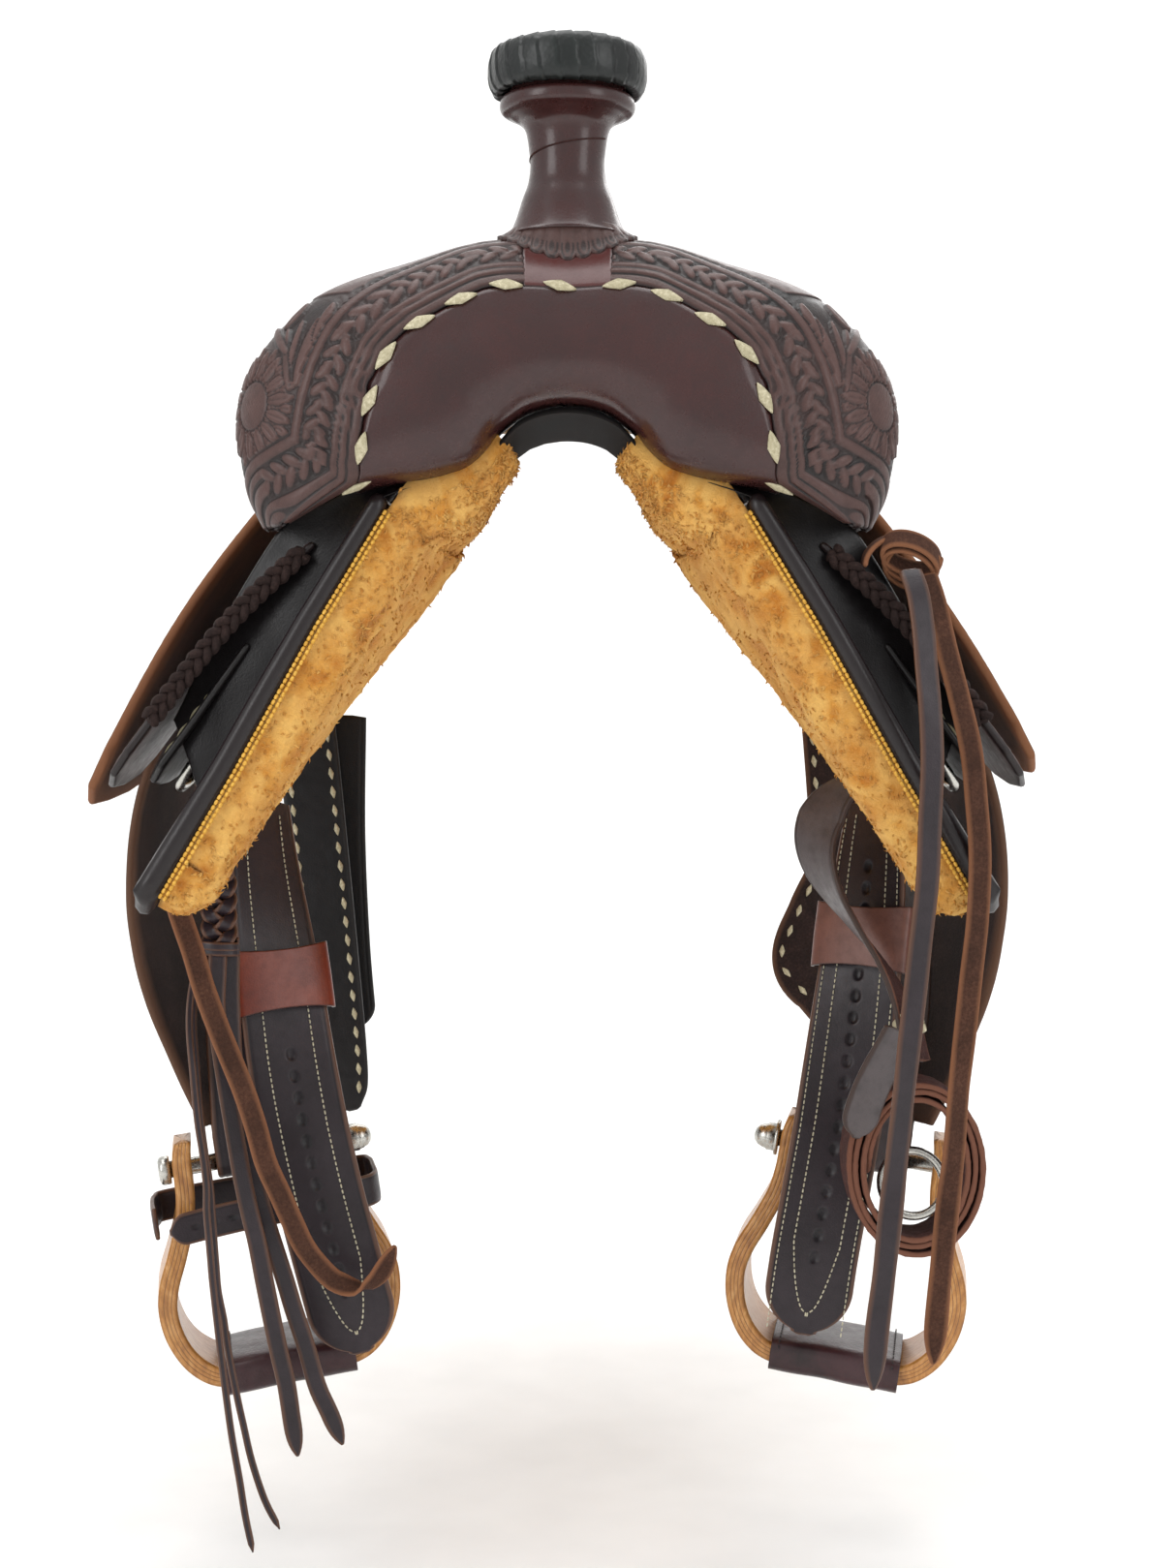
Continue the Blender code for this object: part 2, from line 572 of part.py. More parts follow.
def stirrup_leathers():
    """Main leather around the bolt, its hanging tail and the sliding sleeve."""
    for label, side in SIDES.items():
        bolt = np.array(BOLT_LEFT if side < 0 else BOLT_RIGHT, float)
        axis, depth, up = stirrup_axes(side)
        hinge = (side * 190, *FENDER_HINGE)
        route = [(side * 163, 190, -80), (side * 189, 190, -124), (side * 207, 189, -165),
                 (side * 209, 187, -200), (side * 205, 184, -245), (side * 198, 180, -290),
                 (side * 192, 175, -335), (bolt[0] + side * 3, 165, -380)]
        bend = BOLT_RADIUS + 1.2 + LEATHER_THICKNESS / 2
        bottom = [bolt + up * 16 - depth * bend]
        for step in range(7):
            turn = math.pi * step / 6
            bottom.append(bolt - depth * bend * math.cos(turn) - up * bend * math.sin(turn))
        bottom.append(bolt + up * 22 + depth * bend)
        upper = along(route + [tuple(bottom[0])], 18)
        path = np.vstack([upper, bottom[1:]])
        share = np.clip((-path[:, 2] - 215) / 150, 0, 1)[:, None]
        ahead = np.array([0, -1.0, 0])
        width_dir = ahead * np.cos(share * math.pi / 2) + side * axis * np.sin(share * math.pi / 2)
        strap("stirrup_leather_" + label, path, width_dir, LEATHER_WIDTH, LEATHER_THICKNESS,
              "dark_leather", hinge)
        tail = along(TAIL_LEFT if side < 0 else TAIL_RIGHT, 16)
        strap("leather_tail_" + label, tail, tail_across(side, tail[:, 2]), LEATHER_WIDTH,
              LEATHER_THICKNESS, "dark_leather", hinge, tip=26)
        sleeve(label, side, tail, hinge)


def tail_across(side, z):
    """Width direction of the tail: turned at the top, facing the front lower down."""
    turn = np.radians(57 * np.clip((z + 400) / 189, 0, 1))
    return np.column_stack([-side * np.cos(turn), np.sin(turn), np.zeros_like(turn)])


def tail_frame(side, tail, z):
    """Centre and directions of the tail at a height: down its length, across, and through it."""
    order = np.argsort(tail[:, 2])
    centre = np.array([np.interp(z, tail[order, 2], tail[order, k]) for k in range(3)])
    ahead = np.array([np.interp(z - 12, tail[order, 2], tail[order, k]) for k in range(3)])
    run = (ahead - centre) / np.linalg.norm(ahead - centre)
    across = tail_across(side, np.array([z]))[0]
    across -= run * (across @ run)
    across /= np.linalg.norm(across)
    return centre, run, across, np.cross(run, across)


def sleeve(label, side, tail, hinge):
    """Russet keeper that slides on the tail."""
    height = -314 if side < 0 else -290
    centre, run, across, through = tail_frame(side, tail, height)
    band("leather_sleeve_" + label, centre, run, across, through,
         (LEATHER_WIDTH / 2 + 1.6, LEATHER_THICKNESS / 2 + 3.4), 2.0, 36, "russet_leather",
         tuple(centre))


def stirrups():
    """Laminated wooden stirrups with leather-wrapped treads, bolts and hobble straps."""
    for label, side in SIDES.items():
        bolt = np.array(BOLT_LEFT if side < 0 else BOLT_RIGHT, float)
        axis, depth, up = stirrup_axes(side)

        def place(u, v, w):
            return bolt + axis * u + depth * v + up * w

        loops = []
        stations = list(zip(STIRRUP_OUTER, STIRRUP_INNER, STIRRUP_HALF_DEPTH))
        mirrored = [((-o[0], o[1]), (-i[0], i[1]), d) for o, i, d in stations]
        for outer, inner, half in mirrored + stations[-2::-1]:
            loops.append([place(outer[0], -half, outer[1]), place(inner[0], -half, inner[1]),
                          place(inner[0], half, inner[1]), place(outer[0], half, outer[1])])
        frame = loft("stirrup_frame_" + label, loops, "wood", False, tuple(bolt))
        bore(frame, bolt, axis, label)
        turned("stirrup_bolt_" + label,
               [(8.5, -59), (8.5, -52.6), (BOLT_RADIUS, -52.6), (BOLT_RADIUS, 52.6), (8.5, 52.6),
                (8.5, 59), (7.2, 59), (6.6, 64), (4, 67.5)] if side < 0 else
               [(4, -67.5), (6.6, -64), (7.2, -59), (8.5, -59), (8.5, -52.6), (BOLT_RADIUS, -52.6),
                (BOLT_RADIUS, 52.6), (8.5, 52.6), (8.5, 59)],
               bolt, "steel", axis, 12, False, tuple(bolt))
        tread(label, place, tuple(bolt))
        if side > 0:
            continue
        wrap = [(-56, -35, -29), (-30, -31, -28), (0, -30, -27), (34, -30, -27), (56, -29, -27),
                (65, -20, -27), (66, 0, -27), (65, 20, -27), (56, 29, -27), (0, 30, -27),
                (-56, 29, -27), (-65, 20, -27), (-66, 0, -27), (-65, -17, -27)]
        route = along([tuple(place(u, v, w)) for u, v, w in wrap], 30)
        strap("hobble_strap_" + label, route, up, 19, 3, "smooth_leather", tuple(bolt), butt=9)


def bore(frame, bolt, axis, label):
    """Cut the bolt hole through both arms of a stirrup."""
    cutter = turned("cutter_" + label, [(BOLT_HOLE_RADIUS, -70), (BOLT_HOLE_RADIUS, 70)], bolt,
                    "steel", axis, 12)
    cut = frame.modifiers.new("bolt_hole", "BOOLEAN")
    cut.operation = "DIFFERENCE"
    cut.solver = "EXACT"
    cut.object = cutter
    cutter.hide_render = True
    cutter.display_type = "WIRE"


def tread(label, place, origin):
    """Leather wrapped round the stirrup's foot, as one sleeve open at both ends."""
    loops = []
    for share, hole in ((-38, 0), (-19, 0), (0, 0), (19, 0), (38, 0), (38, 1), (19, 1), (0, 1), (-19, 1),
                        (-38, 1)):
        low, high, half = (-130.9, -115.0, 28.8) if hole else (-134.0, -110.5, 33)
        round_off = 0 if hole else 4
        shape = [(-half + round_off, low), (0, low), (half - round_off, low), (half, low + round_off + 2),
                 (half, high - round_off - 1), (half - round_off - 1, high), (0, high + 1.5 * (1 - hole)),
                 (-half + round_off + 1, high), (-half, high - round_off - 1), (-half, low + round_off + 2)]
        loops.append([place(share, v, w) for v, w in shape])
    loft("stirrup_tread_" + label, loops, "smooth_leather", True, origin)


# ---------------------------------------------------------------- rear billets, latigo

def rear_billets():
    """Buckstitched rear billets and the plain flank straps behind them."""
    left = [(-186, 424, -154, 40), (-182, 424, -200, 42), (-175, 424, -274, 42), (-168, 424, -340, 40),
            (-161, 424, -400, 36), (-156, 424, -430, 28), (-153, 424, -444, 12)]
    right = [(186, 424, -154, 44), (192, 424, -230, 44), (196, 424, -268, 48), (183, 424, -306, 54),
             (172, 424, -338, 54), (184, 424, -362, 44), (194, 424, -384, 30), (198, 424, -398, 16)]
    for label, side, stations in (("left", -1, left), ("right", 1, right)):
        points = along(stations, 16)
        half = points[:, 3:4] / 2
        wide = np.array([1.0, 0, 0])
        thick = np.array([0, 2.0, 0])
        path = points[:, :3]
        loops = np.stack([path - wide * half - thick, path + wide * half - thick,
                          path + wide * half + thick, path - wide * half + thick], axis=1)
        hinge = (side * 186, 424, -150)
        loft("rear_billet_" + label, loops, "black_leather", False, hinge)
        if side > 0:
            continue
        flank = along([(side * 166, 445, -166), (side * 167, 445, -250), (side * 164, 445, -330),
                       (side * 159, 445, -392)], 10)
        strap("flank_strap_left", flank, (1, 0, 0), 44, 3.6, "black_leather", hinge, tip=18)


def latigo():
    """Near-side latigo: looped strap, its tie, the coil, a cinch ring inside it and the strap end."""
    hinge = (206, 80, -200)
    route = [(208, 110, -214), (196, 114, -201), (180, 117, -194), (164, 117, -197), (150, 116, -208),
             (142, 114, -224), (142, 112, -240), (149, 108, -258), (162, 104, -278), (175, 100, -296),
             (185, 95, -314), (191, 88, -332), (193, 82, -350)]
    path = along(route, 26)
    strap("latigo_strap", path, (0, 1, 0), 36, 3.6, "dark_leather", hinge)
    band("latigo_tie", (191, 88, -333), (0.22, -0.28, -0.93), (0, 0.96, -0.28), (0.97, 0.06, 0.22),
         (21.5, 4.6), 3, 15, "rawhide", hinge)
    loops = []
    turns = np.arange(24) * 2 * math.pi / 24
    for radius_x, radius_z, y in ((40, 53, 58), (40, 53, 92), (25, 37, 92), (25, 37, 58)):
        loops.append([(192 + radius_x * math.cos(t), y, -407 + radius_z * math.sin(t)) for t in turns])
    loft("latigo_coil", loops, "dark_leather", True, hinge)
    ring = [(191 + 17.5 * math.cos(t), 72 + 6 * math.sin(t), -418 + 17 * math.sin(t)) for t in turns]
    tube("cinch_ring", ring, 2.4, 8, "steel", closed=True, origin=hinge)
    end = along([(180, 46, -330), (169, 46, -350), (161, 45, -368), (156, 45, -386)], 9)
    strap("latigo_end", end, (0.9, 0.43, 0), 24, 3.2, "dark_leather", hinge, tip=12)


# ---------------------------------------------------------------- saddle strings

STRINGS = {
    "string_roughout_left": (
        [(-222, 66, -243), (-216, 62, -251), (-211, 60, -267), (-204, 60, -288), (-199, 62, -307),
         (-192, 64, -328), (-185, 66, -347), (-178, 68, -366), (-172, 70, -386), (-167, 72, -406),
         (-160, 76, -424), (-154, 80, -440), (-148, 86, -456), (-141, 92, -468), (-134, 96, -477),
         (-128, 98, -481), (-122, 98, -483), (-116, 97, -483), (-110, 96, -479), (-105, 95, -473),
         (-98, 94, -459)], 12.5, "roughout"),
    "string_dark_left": (
        [(-197, 100, -293), (-197, 96, -306), (-197, 92, -322), (-194, 88, -345), (-190, 86, -369),
         (-186, 85, -393), (-182, 84, -416), (-178, 84, -436), (-174, 84, -453), (-170, 84, -475),
         (-166, 84, -496), (-162, 84, -516), (-158, 84, -534), (-155, 84, -555), (-152, 84, -574)],
        10.5, "dark_leather"),
    "string_twin_left": (
        [(-191, 109, -293), (-191, 107, -312), (-190, 103, -334), (-188, 99, -360), (-184, 97, -386),
         (-180, 96, -411), (-176, 95, -423), (-173, 95, -435), (-168, 94, -451), (-163, 94, -467),
         (-159, 94, -480), (-155, 94, -494), (-148, 94, -516), (-142, 94, -538), (-135, 94, -554),
         (-128, 94, -571)], 10.5, "dark_leather"),
    "string_thin_left": (
        [(-206, 99, -293), (-210, 90, -311), (-210, 80, -331), (-207, 73, -356), (-204, 69, -382),
         (-201, 67, -400), (-199, 66, -418), (-199, 66, -431), (-198, 66, -445), (-197, 66, -458),
         (-196, 66, -471), (-193, 66, -500), (-191, 66, -518), (-189, 66, -535), (-186, 66, -558),
         (-182, 66, -582), (-179, 66, -602), (-175, 66, -622)], 4, "dark_leather"),
    "string_thin_twin_left": (
        [(-204, 110, -294), (-210, 105, -312), (-211, 99, -332), (-208, 91, -358), (-205, 85, -384),
         (-202, 81, -403), (-199, 79, -421), (-198, 79, -437), (-197, 79, -453), (-196, 79, -467),
         (-195, 79, -480), (-192, 79, -496), (-190, 79, -512), (-185, 79, -539), (-181, 79, -558),
         (-177, 79, -576), (-170, 79, -598), (-162, 79, -614)], 4, "dark_leather"),
    "string_dark_right": (
        [(174, -16, -84), (177, -23, -96), (179, -28, -114), (180, -32, -133), (182, -34, -157),
         (183, -34, -182), (182, -34, -211), (181, -34, -240), (178, -34, -269), (175, -34, -298),
         (172, -34, -327), (169, -34, -356), (166, -34, -385), (163, -34, -415), (160, -34, -444),
         (157, -34, -470), (155, -34, -499)], 12.7, "dark_leather"),
    "string_roughout_right": (
        [(184, -6, -86), (188, -10, -100), (193, -14, -123), (199, -18, -148), (205, -20, -175),
         (208, -20, -202), (210, -20, -229), (209, -20, -261), (206, -20, -290), (203, -20, -320),
         (200, -20, -349), (198, -20, -379), (195, -20, -408), (192, -20, -438), (190, -20, -462),
         (188, -20, -490)], 12.5, "roughout"),
}


def strings():
    """Free saddle strings, flat straps that hang from the off-side knot and the near-side knot."""
    for name, (route, width, material) in STRINGS.items():
        path = along(route, 20)
        thickness = STRAP_THICKNESS if width > 6 else 2.0
        strap(name, path, (1, 0.15, 0.2), width, thickness, material, tip=width * 1.6)


def string_knot():
    """The plaited knot on the off side that gathers four of the strings."""
    centre, size = (-197, 105, -271), (10.5, 6.5, 20)
    turns = np.arange(12) * 2 * math.pi / 12
    loops = []
    for step in range(7):
        lift = -1 + 2 * step / 6
        girth = math.sqrt(max(0.16, 1 - 0.84 * lift ** 4))
        loops.append([(centre[0] + size[0] * girth * math.cos(t), centre[1] + size[1] * girth
                       * math.sin(t), centre[2] + size[2] * lift) for t in turns])
    loft("string_knot_left", loops, "dark_leather")


def build():
    """Clear the scene, then make every part of the saddle."""
    for obj in list(bpy.data.objects):
        bpy.data.objects.remove(obj)
    tree_fork()
    tree_bars()
    horn()
    gullet_cover()
    swell_covers()
    gullet_lining()
    skirts_and_fleece()
    flaps()
    seat_and_cantle()
    front_dees()
    fenders()
    stirrup_leathers()
    stirrups()
    rear_billets()
    latigo()
    strings()
    string_knot()


build()
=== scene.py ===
import math

import bpy
import numpy as np
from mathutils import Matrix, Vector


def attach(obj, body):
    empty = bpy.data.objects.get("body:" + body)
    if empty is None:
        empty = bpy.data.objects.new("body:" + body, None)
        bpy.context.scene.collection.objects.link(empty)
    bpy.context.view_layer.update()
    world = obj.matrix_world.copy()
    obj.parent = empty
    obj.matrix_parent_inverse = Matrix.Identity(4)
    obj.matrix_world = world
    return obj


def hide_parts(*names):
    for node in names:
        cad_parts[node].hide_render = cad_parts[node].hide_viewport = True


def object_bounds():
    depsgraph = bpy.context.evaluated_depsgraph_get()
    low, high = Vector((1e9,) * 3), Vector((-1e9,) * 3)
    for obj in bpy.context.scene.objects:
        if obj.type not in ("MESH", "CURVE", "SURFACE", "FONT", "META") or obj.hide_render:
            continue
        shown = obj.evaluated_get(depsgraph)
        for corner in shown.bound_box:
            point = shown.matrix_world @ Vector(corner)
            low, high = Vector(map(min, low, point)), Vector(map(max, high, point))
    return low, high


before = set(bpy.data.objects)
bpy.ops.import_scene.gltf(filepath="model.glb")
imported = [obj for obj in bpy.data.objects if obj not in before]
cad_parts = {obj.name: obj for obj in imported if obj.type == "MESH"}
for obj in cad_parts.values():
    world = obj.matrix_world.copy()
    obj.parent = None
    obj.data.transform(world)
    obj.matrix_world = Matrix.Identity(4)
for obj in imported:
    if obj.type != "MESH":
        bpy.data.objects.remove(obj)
CAD_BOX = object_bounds()

bl_info = {
    "name": "Western Saddle Looks",
    "version": (1, 0, 0),
    "blender": (4, 5, 0),
    "location": "View3D > Sidebar > Saddle",
    "description": "Leather, fleece, wood and steel of a western saddle built round its packed frame",
    "category": "Object",
}

# Shapes are worked out in millimetres and written to the meshes in metres. side is -1 or +1.
MM = 0.001
SIDES = {"left": -1, "right": 1}
SEED = 7

# ---------------------------------------------------------------- shared numpy tools


def unit(vectors):
    """Vectors divided by their length."""
    return vectors / np.maximum(np.linalg.norm(vectors, axis=-1, keepdims=True), 1e-9)


def smooth_line(points, count):
    """Evenly spaced points on a Catmull-Rom curve through the given ones."""
    pts = np.asarray(points, float)
    ends = np.vstack([2 * pts[0] - pts[1], pts, 2 * pts[-1] - pts[-2]])
    a, b, c, d = ends[:-3, None], ends[1:-2, None], ends[2:-1, None], ends[3:, None]
    t = np.linspace(0, 1, 16, endpoint=False)[None, :, None]
    fine = 0.5 * (2 * b + (c - a) * t + (2 * a - 5 * b + 4 * c - d) * t ** 2
                  + (3 * b - a - 3 * c + d) * t ** 3)
    fine = np.vstack([fine.reshape(-1, pts.shape[1]), pts[-1]])
    steps = lengths_along(fine[:, :3])
    places = np.linspace(0, steps[-1], count)
    return np.column_stack([np.interp(places, steps, fine[:, k]) for k in range(fine.shape[1])])


def smooth_values(values, places):
    """Catmull-Rom interpolation of rows of values at fractional row numbers."""
    v = np.asarray(values, float)
    ends = np.vstack([2 * v[0] - v[1], v, 2 * v[-1] - v[-2]])
    i = np.clip(np.floor(places).astype(int), 0, len(v) - 2)
    t = (places - i)[..., None]
    a, b, c, d = ends[i], ends[i + 1], ends[i + 2], ends[i + 3]
    return 0.5 * (2 * b + (c - a) * t + (2 * a - 5 * b + 4 * c - d) * t ** 2
                  + (3 * b - a - 3 * c + d) * t ** 3)


def lengths_along(line):
    """Length from the start of a line to each of its points."""
    return np.concatenate([[0], np.cumsum(np.linalg.norm(np.diff(line, axis=0), axis=1))])


def to_line(points, line):
    """Distance from each point to a run of segments, and the length along it of the nearest place."""
    best = np.full(len(points), 1e9)
    where = np.zeros(len(points))
    start = lengths_along(line)
    for i in range(len(line) - 1):
        run = line[i + 1] - line[i]
        size = max(np.linalg.norm(run), 1e-6)
        t = np.clip((points - line[i]) @ run / size ** 2, 0, 1)
        gap = np.linalg.norm(points - line[i] - t[:, None] * run, axis=1)
        near = gap < best
        best = np.where(near, gap, best)
        where = np.where(near, start[i] + t * size, where)
    return best, where


def hashed(ix, iy, iz):
    """Repeatable value from 0 to 1 for whole-number lattice places."""
    n = np.sin(ix * 127.1 + iy * 311.7 + iz * 74.7 + SEED) * 43758.5453
    return n - np.floor(n)


def noise(points, size):
    """Smooth value noise from -1 to 1, one lattice cell being size millimetres."""
    p = points / size
    base = np.floor(p)
    f = p - base
    f = f * f * (3 - 2 * f)
    x, y, z = base[..., 0], base[..., 1], base[..., 2]
    total = 0
    for dx, wx in ((0, 1 - f[..., 0]), (1, f[..., 0])):
        for dy, wy in ((0, 1 - f[..., 1]), (1, f[..., 1])):
            for dz, wz in ((0, 1 - f[..., 2]), (1, f[..., 2])):
                total = total + hashed(x + dx, y + dy, z + dz) * wx * wy * wz
    return total * 2 - 1


def bump(value, centre, width):
    """A rounded ridge: the bell curve of the distance from a centre."""
    return np.exp(-((value - centre) / width) ** 2)


def window(value, low, high, soft=0.6):
    """1 between two limits and 0 outside, with soft shoulders."""
    return 1 / (1 + np.exp(-(value - low) / soft)) / (1 + np.exp((value - high) / soft))


def grid_normals(grid):
    """Unit normals of a grid of points: the cross product of its two directions."""
    return unit(np.cross(np.gradient(grid, axis=0), np.gradient(grid, axis=1)))


# ---------------------------------------------------------------- shapes: vertices, faces, values

class Shape:
    """Vertices, quads, other polygons and one relief and one edge value for each vertex.

    relief runs from -1 in a crevice to 1 on a high place, and edge is 1 on a cut edge. Materials colour by relief:
    antique stain and rubbing on stamped leather, glue lines in wood, and painted shade in low places with a painted
    highlight on high ones in holes, laps, wrinkles, seat channels and wool.
    """

    def __init__(self, verts, quads, polys=(), relief=None, edge=None):
        self.verts = np.asarray(verts, float).reshape(-1, 3)
        self.quads = np.asarray(quads, int).reshape(-1, 4)
        self.polys = list(polys)
        count = len(self.verts)
        self.relief = np.zeros(count) if relief is None else np.broadcast_to(relief, (count,)).copy()
        self.edge = np.zeros(count) if edge is None else np.broadcast_to(edge, (count,)).copy()


def join(shapes):
    """Several shapes as one."""
    shift = np.cumsum([0] + [len(s.verts) for s in shapes])
    polys = [[i + d for i in p] for s, d in zip(shapes, shift) for p in s.polys]
    return Shape(np.concatenate([s.verts for s in shapes]),
                 np.concatenate([s.quads + d for s, d in zip(shapes, shift)]), polys,
                 np.concatenate([s.relief for s in shapes]), np.concatenate([s.edge for s in shapes]))


def grid_quads(rows, cols, wrap=False, start=0):
    """Quads of a grid of rows by columns; wrap joins the last column to the first."""
    i = np.arange(rows - 1)[:, None] * cols
    j = np.arange(cols if wrap else cols - 1)[None, :]
    k = (j + 1) % cols
    return np.stack([i + j, i + k, i + cols + k, i + cols + j], -1).reshape(-1, 4) + start


def border_ring(rows, cols):
    """Row and column numbers of a grid's border, in order round it."""
    r = np.concatenate([np.zeros(cols, int), np.arange(1, rows), np.full(cols - 1, rows - 1),
                        np.arange(rows - 2, 0, -1)])
    c = np.concatenate([np.arange(cols), np.full(rows - 1, cols - 1), np.arange(cols - 2, -1, -1),
                        np.zeros(rows - 2, int)])
    return r, c


def closed_sheet(outer, inner, relief=None, rounding=3, step=10, edge=1.0, out=0.5):
    """A sheet as a closed solid: a fine outer grid, a half-round border and a coarse inner grid.

    The border swings from the outer to the inner grid through half a turn whose bulge is out times the
    thickness. With rounding 0 both grids share their border. Only every step-th inner line is kept.
    """
    rows, cols = outer.shape[:2]
    quads = [grid_quads(rows, cols)]
    verts = [outer.reshape(-1, 3)]
    r, c = border_ring(rows, cols)
    ring = r * cols + c
    count = rows * cols
    reliefs = [np.zeros(count) if relief is None else relief.reshape(-1)]
    edges = [np.zeros(count)]
    last = ring
    if rounding:
        down = outer - inner
        across = np.gradient(outer, axis=1)
        along = np.gradient(outer, axis=0)
        away = np.zeros_like(outer)
        away[0] -= unit(along[0])
        away[-1] += unit(along[-1])
        away[:, 0] -= unit(across[:, 0])
        away[:, -1] += unit(across[:, -1])
        away = unit(away[r, c])
        middle = (outer[r, c] + inner[r, c]) / 2
        half = down[r, c] / 2
        reach = np.linalg.norm(half, axis=1, keepdims=True) * 2 * out
        for k in range(1, rounding + 2):
            turn = math.pi * k / (rounding + 1)
            verts.append(middle + half * math.cos(turn) + away * reach * math.sin(turn))
            reliefs.append(np.zeros(len(ring)))
            edges.append(np.full(len(ring), edge))
            this = np.arange(len(ring)) + count
            count += len(ring)
            quads.append(np.column_stack([np.roll(last, -1), last, this, np.roll(this, -1)]))
            last = this
    at = -np.ones((rows, cols), int)
    at[r, c] = last
    keep_r = sorted(set(list(range(0, rows - 1, step)) + [rows - 1]))
    keep_c = sorted(set(list(range(0, cols - 1, step)) + [cols - 1]))
    inner_r, inner_c = keep_r[1:-1], keep_c[1:-1]
    picked = inner[np.ix_(inner_r, inner_c)].reshape(-1, 3)
    at[np.ix_(inner_r, inner_c)] = np.arange(len(picked)).reshape(len(inner_r), len(inner_c)) + count
    verts.append(picked)
    reliefs.append(np.zeros(len(picked)))
    edges.append(np.zeros(len(picked)))
    polys = []
    for r0, r1 in zip(keep_r, keep_r[1:]):
        for c0, c1 in zip(keep_c, keep_c[1:]):
            top = at[r0, c0:c1 + 1] if r0 == 0 else at[r0, [c0, c1]]
            right = at[r0:r1 + 1, c1] if c1 == cols - 1 else at[[r0, r1], c1]
            low = at[r1, c0:c1 + 1] if r1 == rows - 1 else at[r1, [c0, c1]]
            left = at[r0:r1 + 1, c0] if c0 == 0 else at[[r0, r1], c0]
            loop = list(left[:-1]) + list(low[:-1]) + list(right[::-1][:-1]) + list(top[::-1][:-1])
            polys.append([int(n) for n in loop])
    return Shape(np.concatenate(verts), np.concatenate(quads), polys, np.concatenate(reliefs),
                 np.concatenate(edges))


def swept(sections, relief=None, edge=None, closed=False):
    """Closed section loops joined one after another; open ends are closed with a fan to a middle point."""
    rows, cols = sections.shape[:2]
    verts = [sections.reshape(-1, 3)]
    count = rows * cols
    relief = np.zeros(count) if relief is None else relief.reshape(-1)
    edge = np.zeros(count) if edge is None else edge.reshape(-1)
    quads = grid_quads(rows, cols, True)
    polys = []
    if closed:
        last = np.arange(cols) + (rows - 1) * cols
        first = np.arange(cols)
        quads = np.vstack([quads, np.column_stack([last, np.roll(last, -1), np.roll(first, -1), first])])
    else:
        verts.append(np.stack([sections[0].mean(0), sections[-1].mean(0)]))
        relief = np.concatenate([relief, [0, 0]])
        edge = np.concatenate([edge, [0, 0]])
        for j in range(cols):
            k = (j + 1) % cols
            polys.append([count, k, j])
            polys.append([count + 1, (rows - 1) * cols + j, (rows - 1) * cols + k])
    return Shape(np.concatenate(verts), quads, polys, relief, edge)


def strap(path, across, width, thickness, tip=0.0, butt=0.0, face=None, back=None, cells=14, least=0.3):
    """A flat strap: a rounded-rectangle section carried along a path.

    across is the width direction at each point. face and back give the relief of the two faces in
    millimetres from the length along and the distance across. tip and butt round off the ends.
    """
    path = np.asarray(path, float)
    run = unit(np.gradient(path, axis=0))
    across = np.broadcast_to(np.asarray(across, float), path.shape)
    across = unit(across - run * (across * run).sum(1, keepdims=True))
    out = np.cross(run, across)
    length = lengths_along(path)
    half = np.broadcast_to(np.asarray(width, float) / 2, length.shape).copy()
    for reach, distance in ((tip, length[-1] - length), (butt, length)):
        if reach:
            part = np.clip(distance / reach, 0, 1)
            half = half * np.maximum(least, np.sqrt(1 - (1 - part) ** 2))
    share = np.linspace(-1, 1, cells)
    turn = np.linspace(0, math.pi, 5)[1:-1]
    flat = thickness / 2
    side_a = np.concatenate([share, np.ones(3), share[::-1], -np.ones(3)])
    bulge = np.concatenate([np.zeros(cells), np.sin(turn), np.zeros(cells), -np.sin(turn)]) * flat
    level = np.concatenate([np.full(cells, -1.0), -np.cos(turn), np.ones(cells), np.cos(turn)]) * flat
    is_edge = np.concatenate([np.zeros(cells), np.ones(3), np.zeros(cells), np.ones(3)])
    is_edge[[0, cells - 1, cells + 3, 2 * cells + 2]] = 0.6
    a = side_a[None, :] * (half[:, None] - flat) + bulge[None, :]
    b = np.broadcast_to(level[None, :], a.shape).copy()
    relief = np.zeros_like(a)
    s = length[:, None] + 0 * a
    for call, pick, sign in ((back, slice(0, cells), -1), (face, slice(cells + 3, 2 * cells + 3), 1)):
        if call is not None:
            high = call(s[:, pick], a[:, pick])
            b[:, pick] += sign * high
            # The face height is kept as relief, which the leather colours darken where it is low; in punched holes
            # this is painted shade.
            relief[:, pick] = np.clip(high / 0.8, -1, 1)
    sections = path[:, None] + across[:, None] * a[..., None] + out[:, None] * b[..., None]
    ends = []
    for k, sign in ((0, -1), (-1, 1)):
        middle = path[k] + run[k] * sign * flat * 0.8
        ends.append(middle + (sections[k] - path[k]) * 0.55)
    sections = np.concatenate([ends[0][None], sections, ends[1][None]])
    relief = np.concatenate([relief[:1], relief, relief[-1:]])
    edge = np.broadcast_to(is_edge, relief.shape).copy()
    edge[[0, -1]] = 1
    return swept(sections, relief, edge)


def tube(path, radius, sides=10, closed=False, relief=None):
    """A round section carried along a path; radius may differ at each point."""
    path = np.asarray(path, float)
    if closed:
        run = unit(np.roll(path, -1, axis=0) - np.roll(path, 1, axis=0))
    else:
        run = unit(np.gradient(path, axis=0))
    seed = np.cross(path[1] - path[0], path[len(path) // 2] - path[0])
    if np.linalg.norm(seed) < 1e-6:
        seed = np.cross(run[0], (0.3, 0.5, 0.8))
    first = unit(np.broadcast_to(seed, path.shape) - run * (run @ seed)[:, None])
    second = np.cross(run, first)
    turns = np.arange(sides) * 2 * math.pi / sides
    radius = np.broadcast_to(radius, (len(path),))[:, None, None]
    loops = path[:, None] + radius * (np.cos(turns)[None, :, None] * first[:, None]
                                      + np.sin(turns)[None, :, None] * second[:, None])
    return swept(loops, closed=closed, relief=relief)


